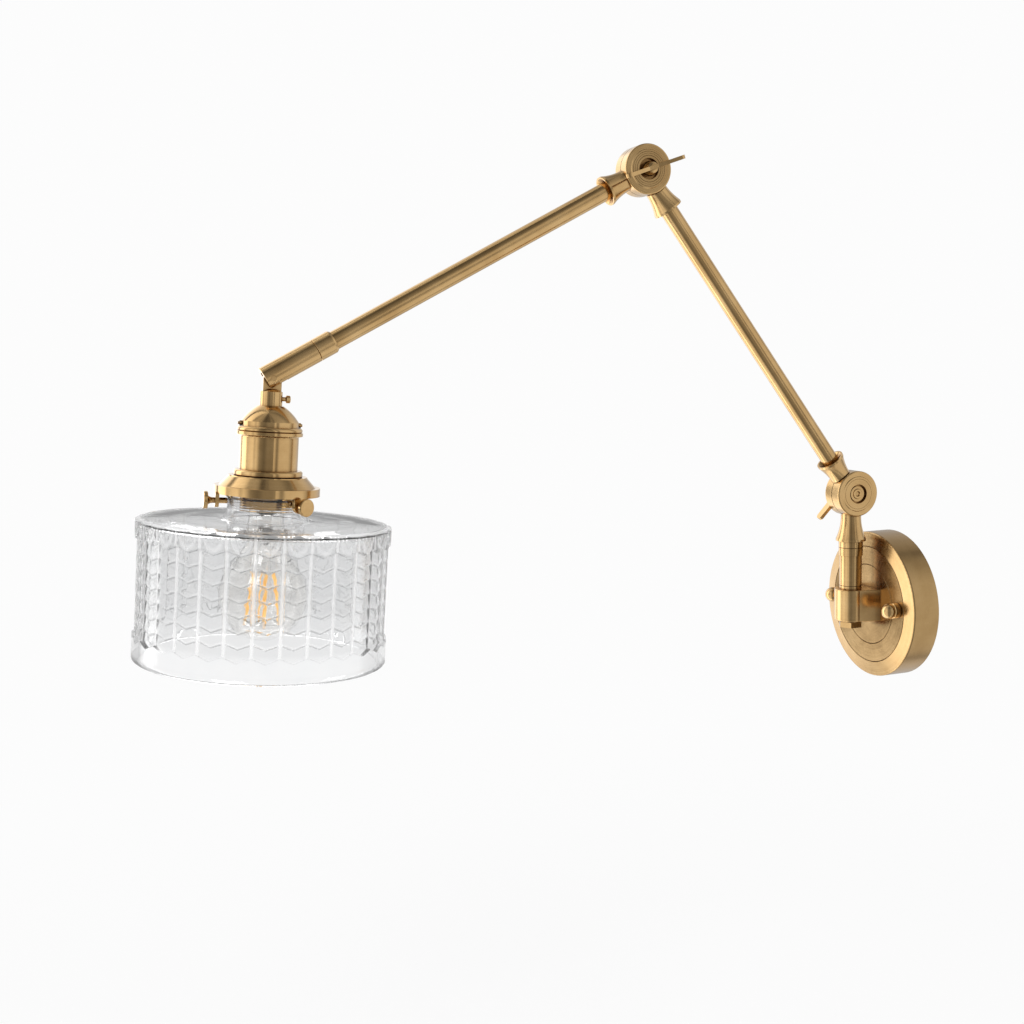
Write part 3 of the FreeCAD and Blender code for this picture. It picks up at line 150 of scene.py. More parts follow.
def mix_shaders(tree, share, first, second):
    mix = add(tree, "MixShader")
    for source, socket in zip((share, first, second), mix.inputs):
        tree.links.new(source, socket)
    return mix.outputs["Shader"]


def noise(tree, place, scale, detail=2.0, roughness=0.5):
    node = add(tree, "TexNoise")
    feed(tree, node, {"Vector": place, "Scale": scale, "Detail": detail, "Roughness": roughness})
    return node.outputs["Fac"]


def bump(tree, height, strength, distance):
    node = add(tree, "Bump")
    feed(tree, node, {"Height": height, "Strength": strength, "Distance": distance})
    return node.outputs["Normal"]


def object_place(tree):
    return add(tree, "TexCoord").outputs["Object"]


def axis_offset(tree, point, direction):
    """Object-space offset from a point, and how far it goes along an axis, as two sockets."""
    offset = vector_of(tree, "SUBTRACT", object_place(tree), point)
    return offset, vector_of(tree, "DOT_PRODUCT", offset, direction)


def show(tree, surface):
    """Make a shader the one that the material shows."""
    output = next(node for node in tree.nodes if node.bl_idname == "ShaderNodeOutputMaterial")
    tree.links.new(surface, output.inputs["Surface"])


# ---- materials ----

GLASS_IOR = 1.47

BRASS_DARK = (0.385, 0.232, 0.092, 1.0)
BRASS_MID = (0.510, 0.330, 0.145, 1.0)
BRASS_PALE = (0.640, 0.440, 0.215, 1.0)
# Painted shade, mixed into corners and where parts meet
BRASS_CORNER_SHADE = (0.34, 0.24, 0.15, 1.0)
LINE_DARK = (0.130, 0.070, 0.026, 1.0)
CLOUD_SCALE = 34.0
TURNED_GRAIN = 2600.0
DRAWN_GRAIN = 1900.0
DRAWN_STRETCH = 0.985
GRAIN_SHARE = 0.30
# How far the painted shade in corners reaches
CORNER_SHADE_REACH = 0.0035

# Pressed glass: levels of its painted shade, painted dark lines by the mark of its relief, where its painted
# highlights start, and what counts as seen head on
BANDS_START = 60.0
BANDS_END = 200.0
MARK_PAINTED_SHADES = ((0.0, 1.0), (0.02, 0.62), (0.20, 0.95), (0.30, 0.95), (0.9, 1.0))
PAINTED_HIGHLIGHT_FROM = 0.4
HEAD_ON_FACING = 0.40
EDGE_ON_FACING = 0.75
EDGE_ON_SHARE = 0.5


def grey(value):
    return (value, value, value, 1.0)


def new_material(name):
    material = bpy.data.materials.new(name)
    material.use_nodes = True
    tree = material.node_tree
    tree.nodes.clear()
    shader = add(tree, "BsdfPrincipled")
    add(tree, "OutputMaterial")
    show(tree, shader.outputs["BSDF"])
    return material, tree, shader


def near_lines(tree, value, lines):
    """1 on the given places along a value, 0 elsewhere. Each line is (place, half width) in metres."""
    total = None
    for place, half_width in lines:
        line = math_of(tree, "COMPARE", value, place, half_width)
        total = line if total is None else math_of(tree, "MAXIMUM", total, line)
    return total


def brass(name, point, direction, grain="turned", roughness=0.17, rings=(), seams=(), spun=0.0, tan=1.0,
          face=None):
    """Satin brass, with painted shade darkening its corners and where parts meet, and dark fine lines.

    Turned parts have fine rings about their axis, drawn tubes have streaks along it. rings are lines engraved
    in a turned part at a distance from its axis, seams are lines round it at a place along it. spun is how
    far the brushing stretches its highlights, and tan below 1 darkens the whole part's colour evenly. face is
    the place along the axis behind which there are no rings.
    """
    material, tree, shader = new_material(name)
    shader.inputs["Metallic"].default_value = 1.0
    offset, along = axis_offset(tree, point, direction)

    cloud = noise(tree, offset, CLOUD_SCALE, detail=5.0, roughness=0.62)
    if grain == "turned":
        radius = vector_of(tree, "LENGTH", vector_of(tree, "CROSS_PRODUCT", offset, direction))
        place = add(tree, "CombineXYZ")
        for value, socket in zip((along, radius), place.inputs):
            tree.links.new(math_of(tree, "MULTIPLY", value, TURNED_GRAIN), socket)
        grain_place = place.outputs["Vector"]
        scale = 1.0
    else:
        back = scaled(tree, direction, math_of(tree, "MULTIPLY", along, -DRAWN_STRETCH))
        grain_place = vector_of(tree, "ADD", offset, back)
        scale = DRAWN_GRAIN
    lines = noise(tree, grain_place, scale, detail=3.0, roughness=0.6)
    blend = add(tree, "Mix", data_type="FLOAT")
    feed(tree, blend, {"Factor": GRAIN_SHARE, "A": cloud, "B": lines})
    texture = blend.outputs["Result"]

    color = ramp(tree, texture, ((0.25, BRASS_DARK), (0.5, BRASS_MID), (0.78, BRASS_PALE)))
    # Painted shade: ambient occlusion darkens the colour in corners and where parts meet.
    corners = add(tree, "AmbientOcclusion", samples=6)
    corners.inputs["Distance"].default_value = CORNER_SHADE_REACH
    corner_shade = ramp(tree, corners.outputs["AO"], ((0.30, BRASS_CORNER_SHADE), (0.85, grey(1.0))))
    color = mix_colors(tree, 1.0, color, corner_shade, "MULTIPLY")
    color = mix_colors(tree, 1.0, color, grey(tan), "MULTIPLY")
    if rings:
        shown = near_lines(tree, radius, rings)
        if face is not None:
            shown = math_of(tree, "MULTIPLY", shown, math_of(tree, "LESS_THAN", along, face))
        color = mix_colors(tree, shown, color, LINE_DARK)
    if seams:
        color = mix_colors(tree, near_lines(tree, along, seams), color, LINE_DARK)
    tree.links.new(color, shader.inputs["Base Color"])

    rough = mapped(tree, texture, 0.3, 0.7, to_low=roughness - 0.04, to_high=roughness + 0.06)
    tree.links.new(rough, shader.inputs["Roughness"])
    if spun:
        around = add(tree, "Tangent", direction_type="RADIAL", axis="Y")
        shader.inputs["Anisotropic"].default_value = spun
        tree.links.new(around.outputs["Tangent"], shader.inputs["Tangent"])
    tree.links.new(bump(tree, lines, strength=0.08, distance=0.00008), shader.inputs["Normal"])
    return material


def mottled(name, scale, detail, stops):
    """Material whose colour varies from place to place, with its noise and its colour as sockets."""
    material, tree, shader = new_material(name)
    pattern = noise(tree, object_place(tree), scale, detail)
    color = ramp(tree, pattern, stops)
    tree.links.new(color, shader.inputs["Base Color"])
    return material, tree, shader, pattern, color


def plain_metal(name, dark, pale, roughness):
    """Plated or dull metal with a fine random grain."""
    material, tree, shader, pattern, _ = mottled(
        name, scale=420.0, detail=4.0, stops=((0.3, dark), (0.7, pale)))
    shader.inputs["Metallic"].default_value = 1.0
    rough = mapped(tree, pattern, 0.0, 1.0, to_low=roughness - 0.05, to_high=roughness + 0.12)
    tree.links.new(rough, shader.inputs["Roughness"])
    return material


def moulded(name, dark, pale, roughness):
    """Moulded plastic or pressed fibre with a faint mottling and a fine bump."""
    material, tree, shader, pattern, _ = mottled(
        name, scale=900.0, detail=3.0, stops=((0.35, dark), (0.65, pale)))
    shader.inputs["Roughness"].default_value = roughness
    tree.links.new(bump(tree, pattern, strength=0.12, distance=0.0001), shader.inputs["Normal"])
    return material


def glowing(name, deep, pale, strength):
    """Coated filament stick, glowing a little unevenly."""
    material, tree, shader, _, color = mottled(
        name, scale=260.0, detail=2.0, stops=((0.3, deep), (0.7, pale)))
    tree.links.new(color, shader.inputs["Emission Color"])
    shader.inputs["Emission Strength"].default_value = strength
    shader.inputs["Roughness"].default_value = 0.5
    return material


def glass(name, pale, deep):
    """Clear glass with a faint cast that varies from place to place, and slow waves in its surface."""
    material, tree, shader, pattern, color = mottled(
        name, scale=60.0, detail=2.0, stops=((0.3, deep), (0.7, pale)))
    feed(tree, shader, {"Transmission Weight": 1.0, "IOR": GLASS_IOR, "Roughness": 0.0})
    waves = bump(tree, pattern, strength=0.08, distance=0.001)
    tree.links.new(waves, shader.inputs["Normal"])
    return material, tree, shader, color, waves


def wall_normal(tree, offset, along):
    """Direction straight out from the head's axis, turned to the side that the ray comes from."""
    outward = vector_of(tree, "SUBTRACT", offset, scaled(tree, HEAD_AXIS, along))
    placed = add(tree, "VectorTransform", vector_type="NORMAL", convert_from="OBJECT", convert_to="WORLD")
    tree.links.new(outward, placed.inputs[0])
    surface = add(tree, "NewGeometry")
    agrees = vector_of(tree, "DOT_PRODUCT", placed.outputs[0], surface.outputs["Normal"])
    turned = scaled(tree, placed.outputs[0], math_of(tree, "SIGN", agrees))
    return vector_of(tree, "NORMALIZE", turned)


def patterned_glass(name, painted_shade_bands, plain_share, softness, frost):
    """Pressed glass. The mesh's relief marks where its painted dark lines and painted highlights go, and its
    pressed is 1 on the patterned wall outside.

    bands gives a grey of painted shade by the level down the head's axis, in millimetres. plain_share is the
    share of light that passes as through a plain wall, softness how far the tiles' slopes are fire-polished
    towards it, and frost the share that the bright edges scatter.
    """
    material, tree, shader, tone, waves = glass(name, grey(1.0), (0.975, 0.980, 0.985, 1.0))
    offset, along = axis_offset(tree, HINGE, HEAD_AXIS)
    # Painted shade: the glass is greyer or clearer by zones down the head's axis.
    depth = mapped(tree, along, BANDS_START / 1000.0, BANDS_END / 1000.0)
    painted_zone_shade = ramp(tree, depth, [((level - BANDS_START) / (BANDS_END - BANDS_START), grey(value))
                              for level, value in painted_shade_bands])
    color = mix_colors(tree, 1.0, tone, painted_zone_shade, "MULTIPLY")

    # Painted shade: dark lines along the foot of each tile's step, by the relief mark.
    mark = add(tree, "Attribute", attribute_name="relief").outputs["Fac"]
    lines = ramp(tree, mark, [(value, grey(share)) for value, share in MARK_PAINTED_SHADES])
    color = mix_colors(tree, 1.0, color, lines, "MULTIPLY")
    # Painted highlight: ribs, tile edges, the horseshoes' crests and the top edge are whitened, by the relief
    # mark.
    bright = mapped(tree, mark, PAINTED_HIGHLIGHT_FROM, 1.0)
    color = mix_colors(tree, bright, color, grey(1.0))
    tree.links.new(color, shader.inputs["Base Color"])

    pressed = add(tree, "Attribute", attribute_name="pressed").outputs["Fac"]
    plain = wall_normal(tree, offset, along)
    layer = add(tree, "LayerWeight")
    layer.inputs["Blend"].default_value = 0.5
    tree.links.new(plain, layer.inputs["Normal"])
    facing = mapped(tree, layer.outputs["Facing"], EDGE_ON_FACING, HEAD_ON_FACING)
    head_on = math_of(tree, "MULTIPLY", pressed, facing)
    edge_on = math_of(tree, "SUBTRACT", pressed, head_on)

    slope = add(tree, "Mix", data_type="VECTOR")
    tree.links.new(math_of(tree, "MULTIPLY", head_on, softness), slope.inputs["Factor"])
    tree.links.new(waves, slope.inputs[4])
    tree.links.new(plain, slope.inputs[5])
    tree.links.new(vector_of(tree, "NORMALIZE", slope.outputs[1]), shader.inputs["Normal"])

    wall = add(tree, "BsdfGlass")
    feed(tree, wall, {"Roughness": 0.0, "IOR": GLASS_IOR, "Color": color, "Normal": plain})
    clear = add(tree, "BsdfTransparent")
    clear.inputs["Color"].default_value = grey(0.97)
    scatter = add(tree, "BsdfDiffuse")
    scatter.inputs["Color"].default_value = grey(0.98)
    surface = shader.outputs["BSDF"]
    for share, part, other in (
            (head_on, plain_share, wall), (edge_on, EDGE_ON_SHARE, clear), (bright, frost, scatter)):
        surface = mix_shaders(tree, math_of(tree, "MULTIPLY", share, part), surface, other.outputs["BSDF"])
    show(tree, surface)
    return material


brass_plate = brass(
    "brass_plate", WALL_CENTRE, Y_AXIS, roughness=0.21, rings=((0.0330, 0.00022), (0.0480, 0.00022)),
    spun=0.5, tan=0.74, face=-0.0225)
brass_nut = brass("brass_nut", WALL_CENTRE, Y_AXIS)
brass_post = brass("brass_post", POST_FOOT, Z_AXIS, seams=((0.0176, 0.00025), (0.0491, 0.0003)))
brass_lug = brass("brass_lug", POST_FOOT, Z_AXIS, roughness=0.20)
brass_lower_joint = brass("brass_lower_joint", LOWER_PIVOT, X_AXIS, rings=((0.0122, 0.00013),))
brass_upper_joint = brass(
    "brass_upper_joint", UPPER_PIVOT, X_AXIS,
    rings=((0.0096, 0.00020), (0.0112, 0.00012), (0.0126, 0.00016)))
brass_lower_key = brass("brass_lower_key", LOWER_PIVOT, X_AXIS)
brass_upper_key = brass("brass_upper_key", UPPER_PIVOT, X_AXIS)
brass_lower_tube = brass("brass_lower_tube", LOWER_PIVOT, LOWER_AXIS, "drawn")
brass_upper_tube = brass("brass_upper_tube", UPPER_PIVOT, UPPER_AXIS, "drawn")
brass_knuckle = brass("brass_knuckle", ARM_END, UPPER_AXIS, "drawn", 0.20)
brass_head = brass("brass_head", HINGE, HEAD_AXIS, roughness=0.13)
zinc = plain_metal("zinc_steel", grey(0.36), grey(0.55), 0.34)
nickel = plain_metal("nickel_cap", (0.50, 0.46, 0.38, 1.0), (0.68, 0.64, 0.56, 1.0), 0.25)
fibre = moulded("fibre_washer", (0.015, 0.012, 0.010, 1.0), (0.035, 0.028, 0.022, 1.0), 0.7)
black_moulding = moulded("black_moulding", grey(0.008), grey(0.018), 0.35)
pale_moulding = moulded("pale_moulding", (0.62, 0.60, 0.54, 1.0), (0.74, 0.72, 0.66, 1.0), 0.5)
# Its greys by level are painted shade: darkest at the shoulder, clearer on the neck and the bottom band.
pressed_glass = patterned_glass(
    "pressed_glass",
    ((62.0, 0.95), (90.0, 0.93), (97.0, 0.86), (100.0, 0.90), (176.0, 0.90), (179.0, 0.955), (196.0, 0.965)),
    plain_share=0.35, softness=0.45, frost=0.28)
blown_glass = glass("blown_glass", (0.985, 0.980, 0.970, 1.0), (0.965, 0.958, 0.945, 1.0))[0]
amber = glowing("amber_filament", (0.88, 0.42, 0.07, 1.0), (1.0, 0.64, 0.20, 1.0), 0.9)

# The nodes that aren't named here are the lampholder's, in brass_head.
FINISHES = {
    "wall_plate": brass_plate,
    "mounting_bracket": zinc,
    "canopy_studs": zinc,
    "ball_nut_left": brass_nut,
    "ball_nut_right": brass_nut,
    "swivel_lug": brass_lug,
    "lug_bush": brass_post,
    "lug_screws": zinc,
    "terminal_block": pale_moulding,
    "earth_screw": brass_nut,
    "post_spindle": zinc,
    "post_tube": brass_post,
    "post_collar": brass_post,
    "swivel_washer": brass_post,
    "post_lock_washer": brass_post,
    "post_nut": brass_post,
    "lower_joint_front": brass_lower_joint,
    "lower_joint_rear": brass_lower_joint,
    "lower_pivot_bolt": brass_lower_key,
    "lower_friction_washer": fibre,
    "lower_wing_key": brass_lower_key,
    "upper_joint_front": brass_upper_joint,
    "upper_joint_rear": brass_upper_joint,
    "upper_pivot_bolt": brass_upper_key,
    "upper_friction_washer": fibre,
    "upper_wing_key": brass_upper_key,
    "lower_arm_tube": brass_lower_tube,
    "upper_arm_tube": brass_upper_tube,
    "arm_end_sleeve": brass_knuckle,
    "knuckle": brass_knuckle,
    "knuckle_spigot": zinc,
    "knuckle_pin": brass_knuckle,
    "socket_insert": black_moulding,
    "glass_shade": pressed_glass,
    "bulb_glass": blown_glass,
    "bulb_stem": blown_glass,
    "bulb_cap": nickel,
    "bulb_contact": nickel,
    "bulb_insulator": black_moulding,
    "filament_wires": zinc,
    "filaments": amber,
}

for name, node in NODES.items():
    node.data.materials.clear()
    node.data.materials.append(FINISHES.get(name, brass_head))


# ---- pressed glass shade (millimetres, levels down the lamp head's axis) ----

COLUMNS = 30
COLUMN_PHASE = math.radians(0.5)
COLUMN_STEPS = 24
WALL_RADIUS = 84.4
TOP_ROW_RADIUS = 86.0
BAND_RADIUS = 87.2
INNER_RADIUS = 81.6
WALL_TOP = 99.6
WALL_END = 193.6
LEVEL_STEP = 0.45
PRESSED_START = WALL_TOP + 0.9
# The top edge, which gets the ribs' painted highlight
TOP_EDGE_START = 98.4
TOP_EDGE_END = 100.2
HALF_COLUMN = math.pi * WALL_RADIUS / COLUMNS

# Neck, shoulder, rim and inside. A row is (level, radius), and what is round is an arc.
LIP_ROWS = ((69.6, 23.7), (69.6, 27.2), (70.9, 28.4), (81.6, 28.4), (82.2, 28.2), (83.0, 26.9))
NECK_RADIUS = 26.7
NECK_RINGS = 4
NECK_RING_START = 84.0
NECK_RING_PITCH = 1.7
NECK_RING_HALF = 0.45
BLEND_LEVEL = 90.8
BLEND_CENTRE = 33.7
OUTER_BLEND = 7.0
INNER_BLEND = 10.2
SHOULDER_ROWS = ((98.05, 50.0), (98.2, 70.0), (98.3, 82.5), (98.5, 84.0))
RIM_LEVEL = 195.2
RIM_CENTRE = 85.7
RIM_ROUNDING = 1.6
RIM_BEVEL = 0.5
INNER_ROWS = 11
INNER_ROWS_START = 190.0
INNER_ROWS_PITCH = 8.0
INNER_CORNER = 2.0
INNER_CORNER_LEVEL = 103.5
UNDERSIDE_ROW = (101.1, 60.0)
BORE_ROW = (80.0, 23.5)

# Relief: ribs between the columns, a top row of horseshoes, which are the hoops, and chevron tiles
RIB_HALF_WIDTH = 1.5
RIB_HEIGHT = 1.3
RIB_BRIGHT_SHARE = 0.8
TILE_PITCH = 9.9
TILE_DROP = 3.4
TILE_HEIGHT = 0.80
TILE_CROWN = 0.42
TILE_SLOPE = 1.4
TILE_EDGE = 0.86
TILE_EDGE_START = TILE_EDGE - 0.09
LOWER_LINE_START = TILE_EDGE + 0.03
FIRST_TILE = 110.2
HOOP_ROW_MARGIN = 0.6
BORDER_LEVEL = 176.6
BORDER_DROP = 3.6
BORDER_STEP = 0.8
HOOP_DEPTH = 10.6
HOOP_HALF_WIDTH = 6.0
HOOP_LINE = 1.5
HOOP_HEIGHT = 1.2
INNER_HOOP = 0.5
INNER_HOOP_HEIGHT = 0.6

# What the mesh's relief says of a place, which places the glass's painted dark lines and painted highlights.
# A horseshoe is up to HOOP_MARK above a tile.
PLAIN_MARK = 0.0
LOWER_LINE_MARK = 0.05
TILE_MARK = 0.25
HOOP_MARK = 0.5
TILE_EDGE_MARK = 0.8
RIB_MARK = 1.0


def round_ridge(distance, half_width, height):
    """Half-round ridge: full height on its line, nothing beyond its half width."""
    if distance >= half_width:
        return 0.0
    return height * math.sqrt(1.0 - (distance / half_width) ** 2)


def column_place(turn):
    """Distance across a column from its middle, 0, to the ribs at its sides, 1."""
    column = (turn - COLUMN_PHASE) / (2.0 * math.pi) * COLUMNS
    return abs(2.0 * (column - math.floor(column)) - 1.0)


def border_level(across):
    """Where the pattern ends and the plain band starts, in points between the ribs."""
    return BORDER_LEVEL + BORDER_DROP * (1.0 - across)


def in_hoop_row(across, level):
    """Whether a place is in the top row, above the first tiles."""
    return level < FIRST_TILE + TILE_DROP * (1.0 - across) - HOOP_ROW_MARGIN


def tile_share(across, level):
    """How far down its chevron tile a point is, from 0 to 1."""
    row = (level - FIRST_TILE - TILE_DROP * (1.0 - across)) / TILE_PITCH
    return row - math.floor(row)


def tile_relief(across, level):
    """Overlapping chevron tiles: each is crowned like a lens and ends in a sharp step."""
    share = tile_share(across, level)
    if share >= TILE_EDGE:
        return TILE_HEIGHT * (1.0 - share) / (1.0 - TILE_EDGE)
    along = share / TILE_EDGE
    crown = TILE_CROWN * (1.0 - across * across) * 4.0 * along * (1.0 - along)
    return TILE_HEIGHT * along ** TILE_SLOPE + crown


def hoop_relief(across, level):
    """One horseshoe under the shoulder in each column, with a smaller one inside it."""
    size = math.hypot(across * HALF_COLUMN / HOOP_HALF_WIDTH, (level - WALL_TOP) / HOOP_DEPTH)
    outer = round_ridge(abs(size - 1.0) * HOOP_HALF_WIDTH, HOOP_LINE, HOOP_HEIGHT)
    inner = round_ridge(abs(size - INNER_HOOP) * HOOP_HALF_WIDTH, HOOP_LINE, INNER_HOOP_HEIGHT * HOOP_HEIGHT)
    return max(outer, inner)


def relief_mark(turn, level):
    """The relief that the mesh notes at a place on the outside of the wall."""
    across = column_place(turn)
    if level > border_level(across) + BORDER_STEP:
        return PLAIN_MARK
    if (1.0 - across) * HALF_COLUMN < RIB_BRIGHT_SHARE * RIB_HALF_WIDTH:
        return RIB_MARK
    if in_hoop_row(across, level):
        return TILE_MARK + HOOP_MARK * hoop_relief(across, level) / HOOP_HEIGHT
    share = tile_share(across, level)
    if share > LOWER_LINE_START:
        return LOWER_LINE_MARK
    if share > TILE_EDGE_START:
        return TILE_EDGE_MARK
    return TILE_MARK


def wall_radius(turn, level):
    """Outer radius of the pressed wall: upright ribs, horseshoes, chevron tiles, then the plain band."""
    across = column_place(turn)
    border = border_level(across)
    if level > border + BORDER_STEP:
        return BAND_RADIUS
    rib = round_ridge((1.0 - across) * HALF_COLUMN, RIB_HALF_WIDTH, RIB_HEIGHT)
    if in_hoop_row(across, level):
        return TOP_ROW_RADIUS + max(rib, hoop_relief(across, level))
    step = min(1.0, max(0.0, (level - border) / BORDER_STEP))
    return WALL_RADIUS + max(rib, tile_relief(across, level), step * (BAND_RADIUS - WALL_RADIUS))


def arc_rows(centre_level, centre_radius, radius, first, last, steps):
    """Cross-section points on an arc. Angle 0 points outwards, 90 degrees points down the axis."""
    rows = []
    for number in range(steps + 1):
        angle = math.radians(first + (last - first) * number / steps)
        rows.append((centre_level + radius * math.sin(angle), centre_radius + radius * math.cos(angle)))
    return rows


def neck_rows():
    """Outside of the lip and neck, with the fine moulded rings round the neck."""
    rows = list(LIP_ROWS)
    for number in range(NECK_RINGS):
        level = NECK_RING_START + NECK_RING_PITCH * number
        rows += [(level, NECK_RADIUS), (level + NECK_RING_HALF, NECK_RADIUS + NECK_RING_HALF),
                 (level + 2.0 * NECK_RING_HALF, NECK_RADIUS)]
    return rows + arc_rows(BLEND_LEVEL, BLEND_CENTRE, OUTER_BLEND, 180.0, 90.0, 10)


def wall_rows():
    """Levels of the pressed wall, whose radius comes from its relief."""
    steps = round((WALL_END - WALL_TOP) / LEVEL_STEP)
    return [(WALL_TOP + (WALL_END - WALL_TOP) * number / steps, None) for number in range(steps + 1)]


def inner_rows():
    """Inside of the shade from the rim up the wall, under the shoulder and up the bore."""
    rows = [(RIM_LEVEL, INNER_RADIUS + RIM_BEVEL), (RIM_LEVEL - RIM_BEVEL, INNER_RADIUS)]
    rows += [(INNER_ROWS_START - INNER_ROWS_PITCH * number, INNER_RADIUS) for number in range(INNER_ROWS)]
    rows += arc_rows(INNER_CORNER_LEVEL, INNER_RADIUS - INNER_CORNER, INNER_CORNER, 0.0, -90.0, 6)
    rows += [UNDERSIDE_ROW]
    return rows + arc_rows(BLEND_LEVEL, BLEND_CENTRE, INNER_BLEND, 90.0, 180.0, 10) + [BORE_ROW]


def link_object(name, data):
    piece = bpy.data.objects.new(name, data)
    bpy.context.scene.collection.objects.link(piece)
    return piece


def make_shade():
    """The shade as one closed skin: relief outside, smooth inside."""
    rim = arc_rows(WALL_END, RIM_CENTRE, RIM_ROUNDING, 25.0, 90.0, 4)
    segments = COLUMNS * COLUMN_STEPS
    shape = bmesh.new()
    rings = []
    marks = []
    outside = []
    for level, radius in neck_rows() + list(SHOULDER_ROWS) + wall_rows() + rim + inner_rows():
        patterned = radius is None
        ring = []
        for number in range(segments):
            turn = COLUMN_PHASE + 2.0 * math.pi * number / segments
            out = wall_radius(turn, level) if patterned else radius
            ring.append(shape.verts.new(head_point(level, out, turn)))
            # Painted highlight: the top edge is marked as a rib, so that it is whitened and frosted.
            if TOP_EDGE_START < level < TOP_EDGE_END:
                marks.append(RIB_MARK)
            else:
                marks.append(relief_mark(turn, level) if patterned else PLAIN_MARK)
            outside.append(float(patterned and level > PRESSED_START))
        rings.append(ring)
    for ring, after in zip(rings, rings[1:] + rings[:1]):
        for number in range(segments):
            other = (number + 1) % segments
            shape.faces.new((ring[number], ring[other], after[other], after[number]))
    bmesh.ops.recalc_face_normals(shape, faces=shape.faces)
    for face in shape.faces:
        face.smooth = True
    mesh = bpy.data.meshes.new("pressed_shade")
    shape.to_mesh(mesh)
    shape.free()
    mesh.attributes.new("relief", "FLOAT", "POINT").data.foreach_set("value", marks)
    mesh.attributes.new("pressed", "FLOAT", "POINT").data.foreach_set("value", outside)
    mesh.materials.append(pressed_glass)
    shade = link_object("pressed_shade", mesh)
    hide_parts("glass_shade")
    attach(shade, "head")


make_shade()


# ---- stage, light and camera ----

BACKGROUND = 0.975
FILL = 0.55
MIDDLE = (0.0, -0.28, 0.18)

FLOOR_SPAN = 1.5
FLOOR_LEVEL = -0.42
SHADOW_CENTRE = (0.0, -0.3, FLOOR_LEVEL)
SHADOW_INNER = 0.30
SHADOW_OUTER = 1.15
WHITE_IN_SHADOW = 0.86

# The studio is fixed in the world: its brightness by the degrees round from its front towards its right
STUDIO_FRONT = Vector((0.9449, -0.3272, 0.0))
STUDIO_RIGHT = Vector((0.3272, 0.9449, 0.0))
METAL_STUDIO = ((-180, 1.0), (-165, 1.2), (-158, 2.2), (-131, 2.2), (-128.5, 0.45), (-121.5, 0.45),
                (-119, 3.3), (-93, 3.2), (-87, 1.0), (-70, 1.45), (-56, 1.6), (-49, 0.95), (-41, 1.4),
                (-34, 0.9), (-27, 0.42), (-9, 0.25), (4, 0.42), (24, 0.40), (30, 1.05), (33, 1.05),
                (38, 0.42), (43, 0.42), (50, 1.05), (92, 1.07), (110, 0.50), (114, 0.50), (120, 1.05),
                (138, 1.0), (152, 0.85), (166, 0.60), (180, 1.0))
GLASS_STUDIO = ((-180, 0.95), (-172, 0.98), (-152, 1.0), (-132, 0.86), (-120, 0.84), (-117, 2.4), (-97, 2.4),
                (-94, 0.83), (-60, 0.82), (0, 0.76), (60, 0.78), (132, 0.80), (152, 1.0), (180, 1.0))

# Its brightness by height, from -1 straight down to 1 straight up. The two are multiplied.
METAL_HEIGHTS = ((0.0, 1.0), (0.5, 0.95), (0.85, 0.50), (1.0, 0.42))
GLASS_HEIGHTS = ((-0.5, 0.92), (-0.25, 1.0), (-0.02, 1.0), (0.03, 0.56), (0.2, 0.64), (0.5, 0.86))

# Name, place, width, height and power
SOFTBOXES = (
    ("key_light", (1.1, -1.3, 1.3), 0.9, 0.9, 20.0),
    ("side_light", (0.7, 1.2, 0.7), 0.7, 0.9, 8.0),
    ("back_light", (-1.3, -0.4, 0.9), 0.8, 0.8, 8.0))

CAMERA_PLACE = (0.88457, -0.64092, 0.21789)
CAMERA_RIGHT = (0.33043, 0.94343, -0.02760)
CAMERA_UP = (-0.11092, 0.06786, 0.99151)
CAMERA_BACK = (0.93729, -0.32457, 0.12706)
CAMERA_LENS = 44.765


def seen_or_mirrored(tree):
    """1 for rays from the camera, from a reflection or through glass, 0 for the light that fills shadows."""
    path = add(tree, "LightPath")
    total = path.outputs["Is Camera Ray"]
    for kind in ("Is Glossy Ray", "Is Transmission Ray"):
        total = math_of(tree, "MAXIMUM", total, path.outputs[kind])
    return total


def make_floor():
    """Pale floor, white to the camera but for the object's faint shadow, and left out of reflections."""
    mesh = bpy.data.meshes.new("floor")
    corners = ((-1.0, -1.0), (1.0, -1.0), (1.0, 1.0), (-1.0, 1.0))
    mesh.from_pydata([(x * FLOOR_SPAN, y * FLOOR_SPAN, FLOOR_LEVEL) for x, y in corners], [], [(0, 1, 2, 3)])
    floor = link_object("floor", mesh)
    material, tree, shader, _, _ = mottled(
        "pale_floor", scale=3.0, detail=2.0, stops=((0.3, grey(0.86)), (0.7, grey(0.88))))
    shader.inputs["Roughness"].default_value = 0.7
    shader.inputs["Specular IOR Level"].default_value = 0.0
    white = add(tree, "Emission")
    white.inputs["Color"].default_value = grey(BACKGROUND)
    away = vector_of(tree, "DISTANCE", object_place(tree), SHADOW_CENTRE)
    fade = mapped(tree, away, SHADOW_INNER, SHADOW_OUTER, WHITE_IN_SHADOW, 1.0, "SMOOTHSTEP")
    bright = math_of(tree, "MULTIPLY", seen_or_mirrored(tree), fade)
    show(tree, mix_shaders(tree, bright, shader.outputs["BSDF"], white.outputs["Emission"]))
    mesh.materials.append(material)
    floor.visible_glossy = False


def studio_round(tree, direction, stops):
    """Brightness of the studio by the direction round the object. Each stop is (degrees, brightness)."""
    beside = vector_of(tree, "DOT_PRODUCT", direction, STUDIO_RIGHT)
    facing = vector_of(tree, "DOT_PRODUCT", direction, STUDIO_FRONT)
    share = mapped(tree, math_of(tree, "ARCTAN2", beside, facing), -math.pi, math.pi)
    return ramp(tree, share, [(0.5 + degrees / 360.0, grey(value)) for degrees, value in stops])


def studio_height(tree, direction, stops):
    """Brightness of the studio by the height of a direction. Each stop is (height, brightness)."""
    height = add(tree, "SeparateXYZ")
    tree.links.new(direction, height.inputs[0])
    share = mapped(tree, height.outputs["Z"], -1.0, 1.0)
    return ramp(tree, share, [(0.5 + 0.5 * level, grey(value)) for level, value in stops])


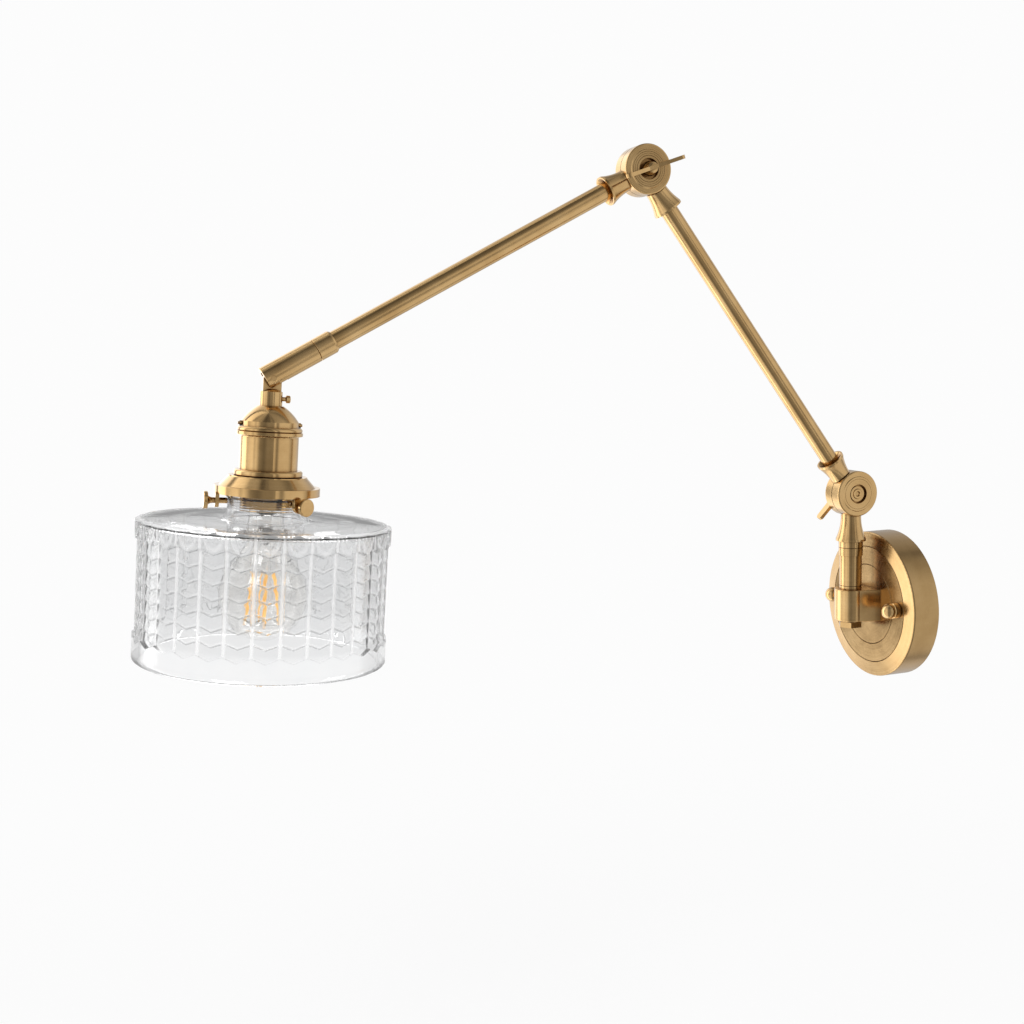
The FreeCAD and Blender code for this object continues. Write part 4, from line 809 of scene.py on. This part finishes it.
def studio_walls(tree, direction, around, heights):
    walls = studio_round(tree, direction, around)
    return mix_colors(tree, 1.0, walls, studio_height(tree, direction, heights), "MULTIPLY")


def make_world():
    """White to the camera, a studio of dark and bright walls in metal and glass, an even fill elsewhere."""
    world = bpy.data.worlds.new("studio")
    bpy.context.scene.world = world
    world.use_nodes = True
    tree = world.node_tree
    tree.nodes.clear()
    path = add(tree, "LightPath")
    direction = add(tree, "TexCoord").outputs["Generated"]
    glass_walls = studio_walls(tree, direction, GLASS_STUDIO, GLASS_HEIGHTS)
    metal_walls = studio_walls(tree, direction, METAL_STUDIO, METAL_HEIGHTS)
    tone = grey(FILL)
    for kind, color in (
            ("Is Glossy Ray", metal_walls),
            ("Is Singular Ray", glass_walls),
            ("Is Transmission Ray", glass_walls),
            ("Is Camera Ray", grey(BACKGROUND))):
        tone = mix_colors(tree, path.outputs[kind], tone, color)
    backdrop = add(tree, "Background")
    tree.links.new(tone, backdrop.inputs["Color"])
    output = add(tree, "OutputWorld")
    tree.links.new(backdrop.outputs["Background"], output.inputs["Surface"])


def make_softbox(name, place, width, height, power):
    light = bpy.data.lights.new(name, "AREA")
    light.shape = "RECTANGLE"
    light.size = width
    light.size_y = height
    light.energy = power
    lamp = link_object(name, light)
    lamp.location = place
    lamp.rotation_euler = (Vector(MIDDLE) - Vector(place)).to_track_quat("-Z", "Y").to_euler()
    lamp.visible_glossy = False


def make_camera():
    """The photo's camera, fitted to the wall plate, the arms' ends and the shade's rims."""
    camera_data = bpy.data.cameras.new("camera")
    camera_data.sensor_width = 36.0
    camera_data.lens = CAMERA_LENS
    camera_data.clip_start = 0.02
    camera = link_object("camera", camera_data)
    turn = Matrix((CAMERA_RIGHT, CAMERA_UP, CAMERA_BACK)).transposed().to_4x4()
    camera.matrix_world = Matrix.Translation(CAMERA_PLACE) @ turn
    bpy.context.scene.camera = camera


make_floor()
make_world()
for softbox in SOFTBOXES:
    make_softbox(*softbox)
make_camera()
bpy.context.scene.view_settings.view_transform = "Standard"


def plain(bounds):
    return [[float(number) for number in corner] for corner in bounds]
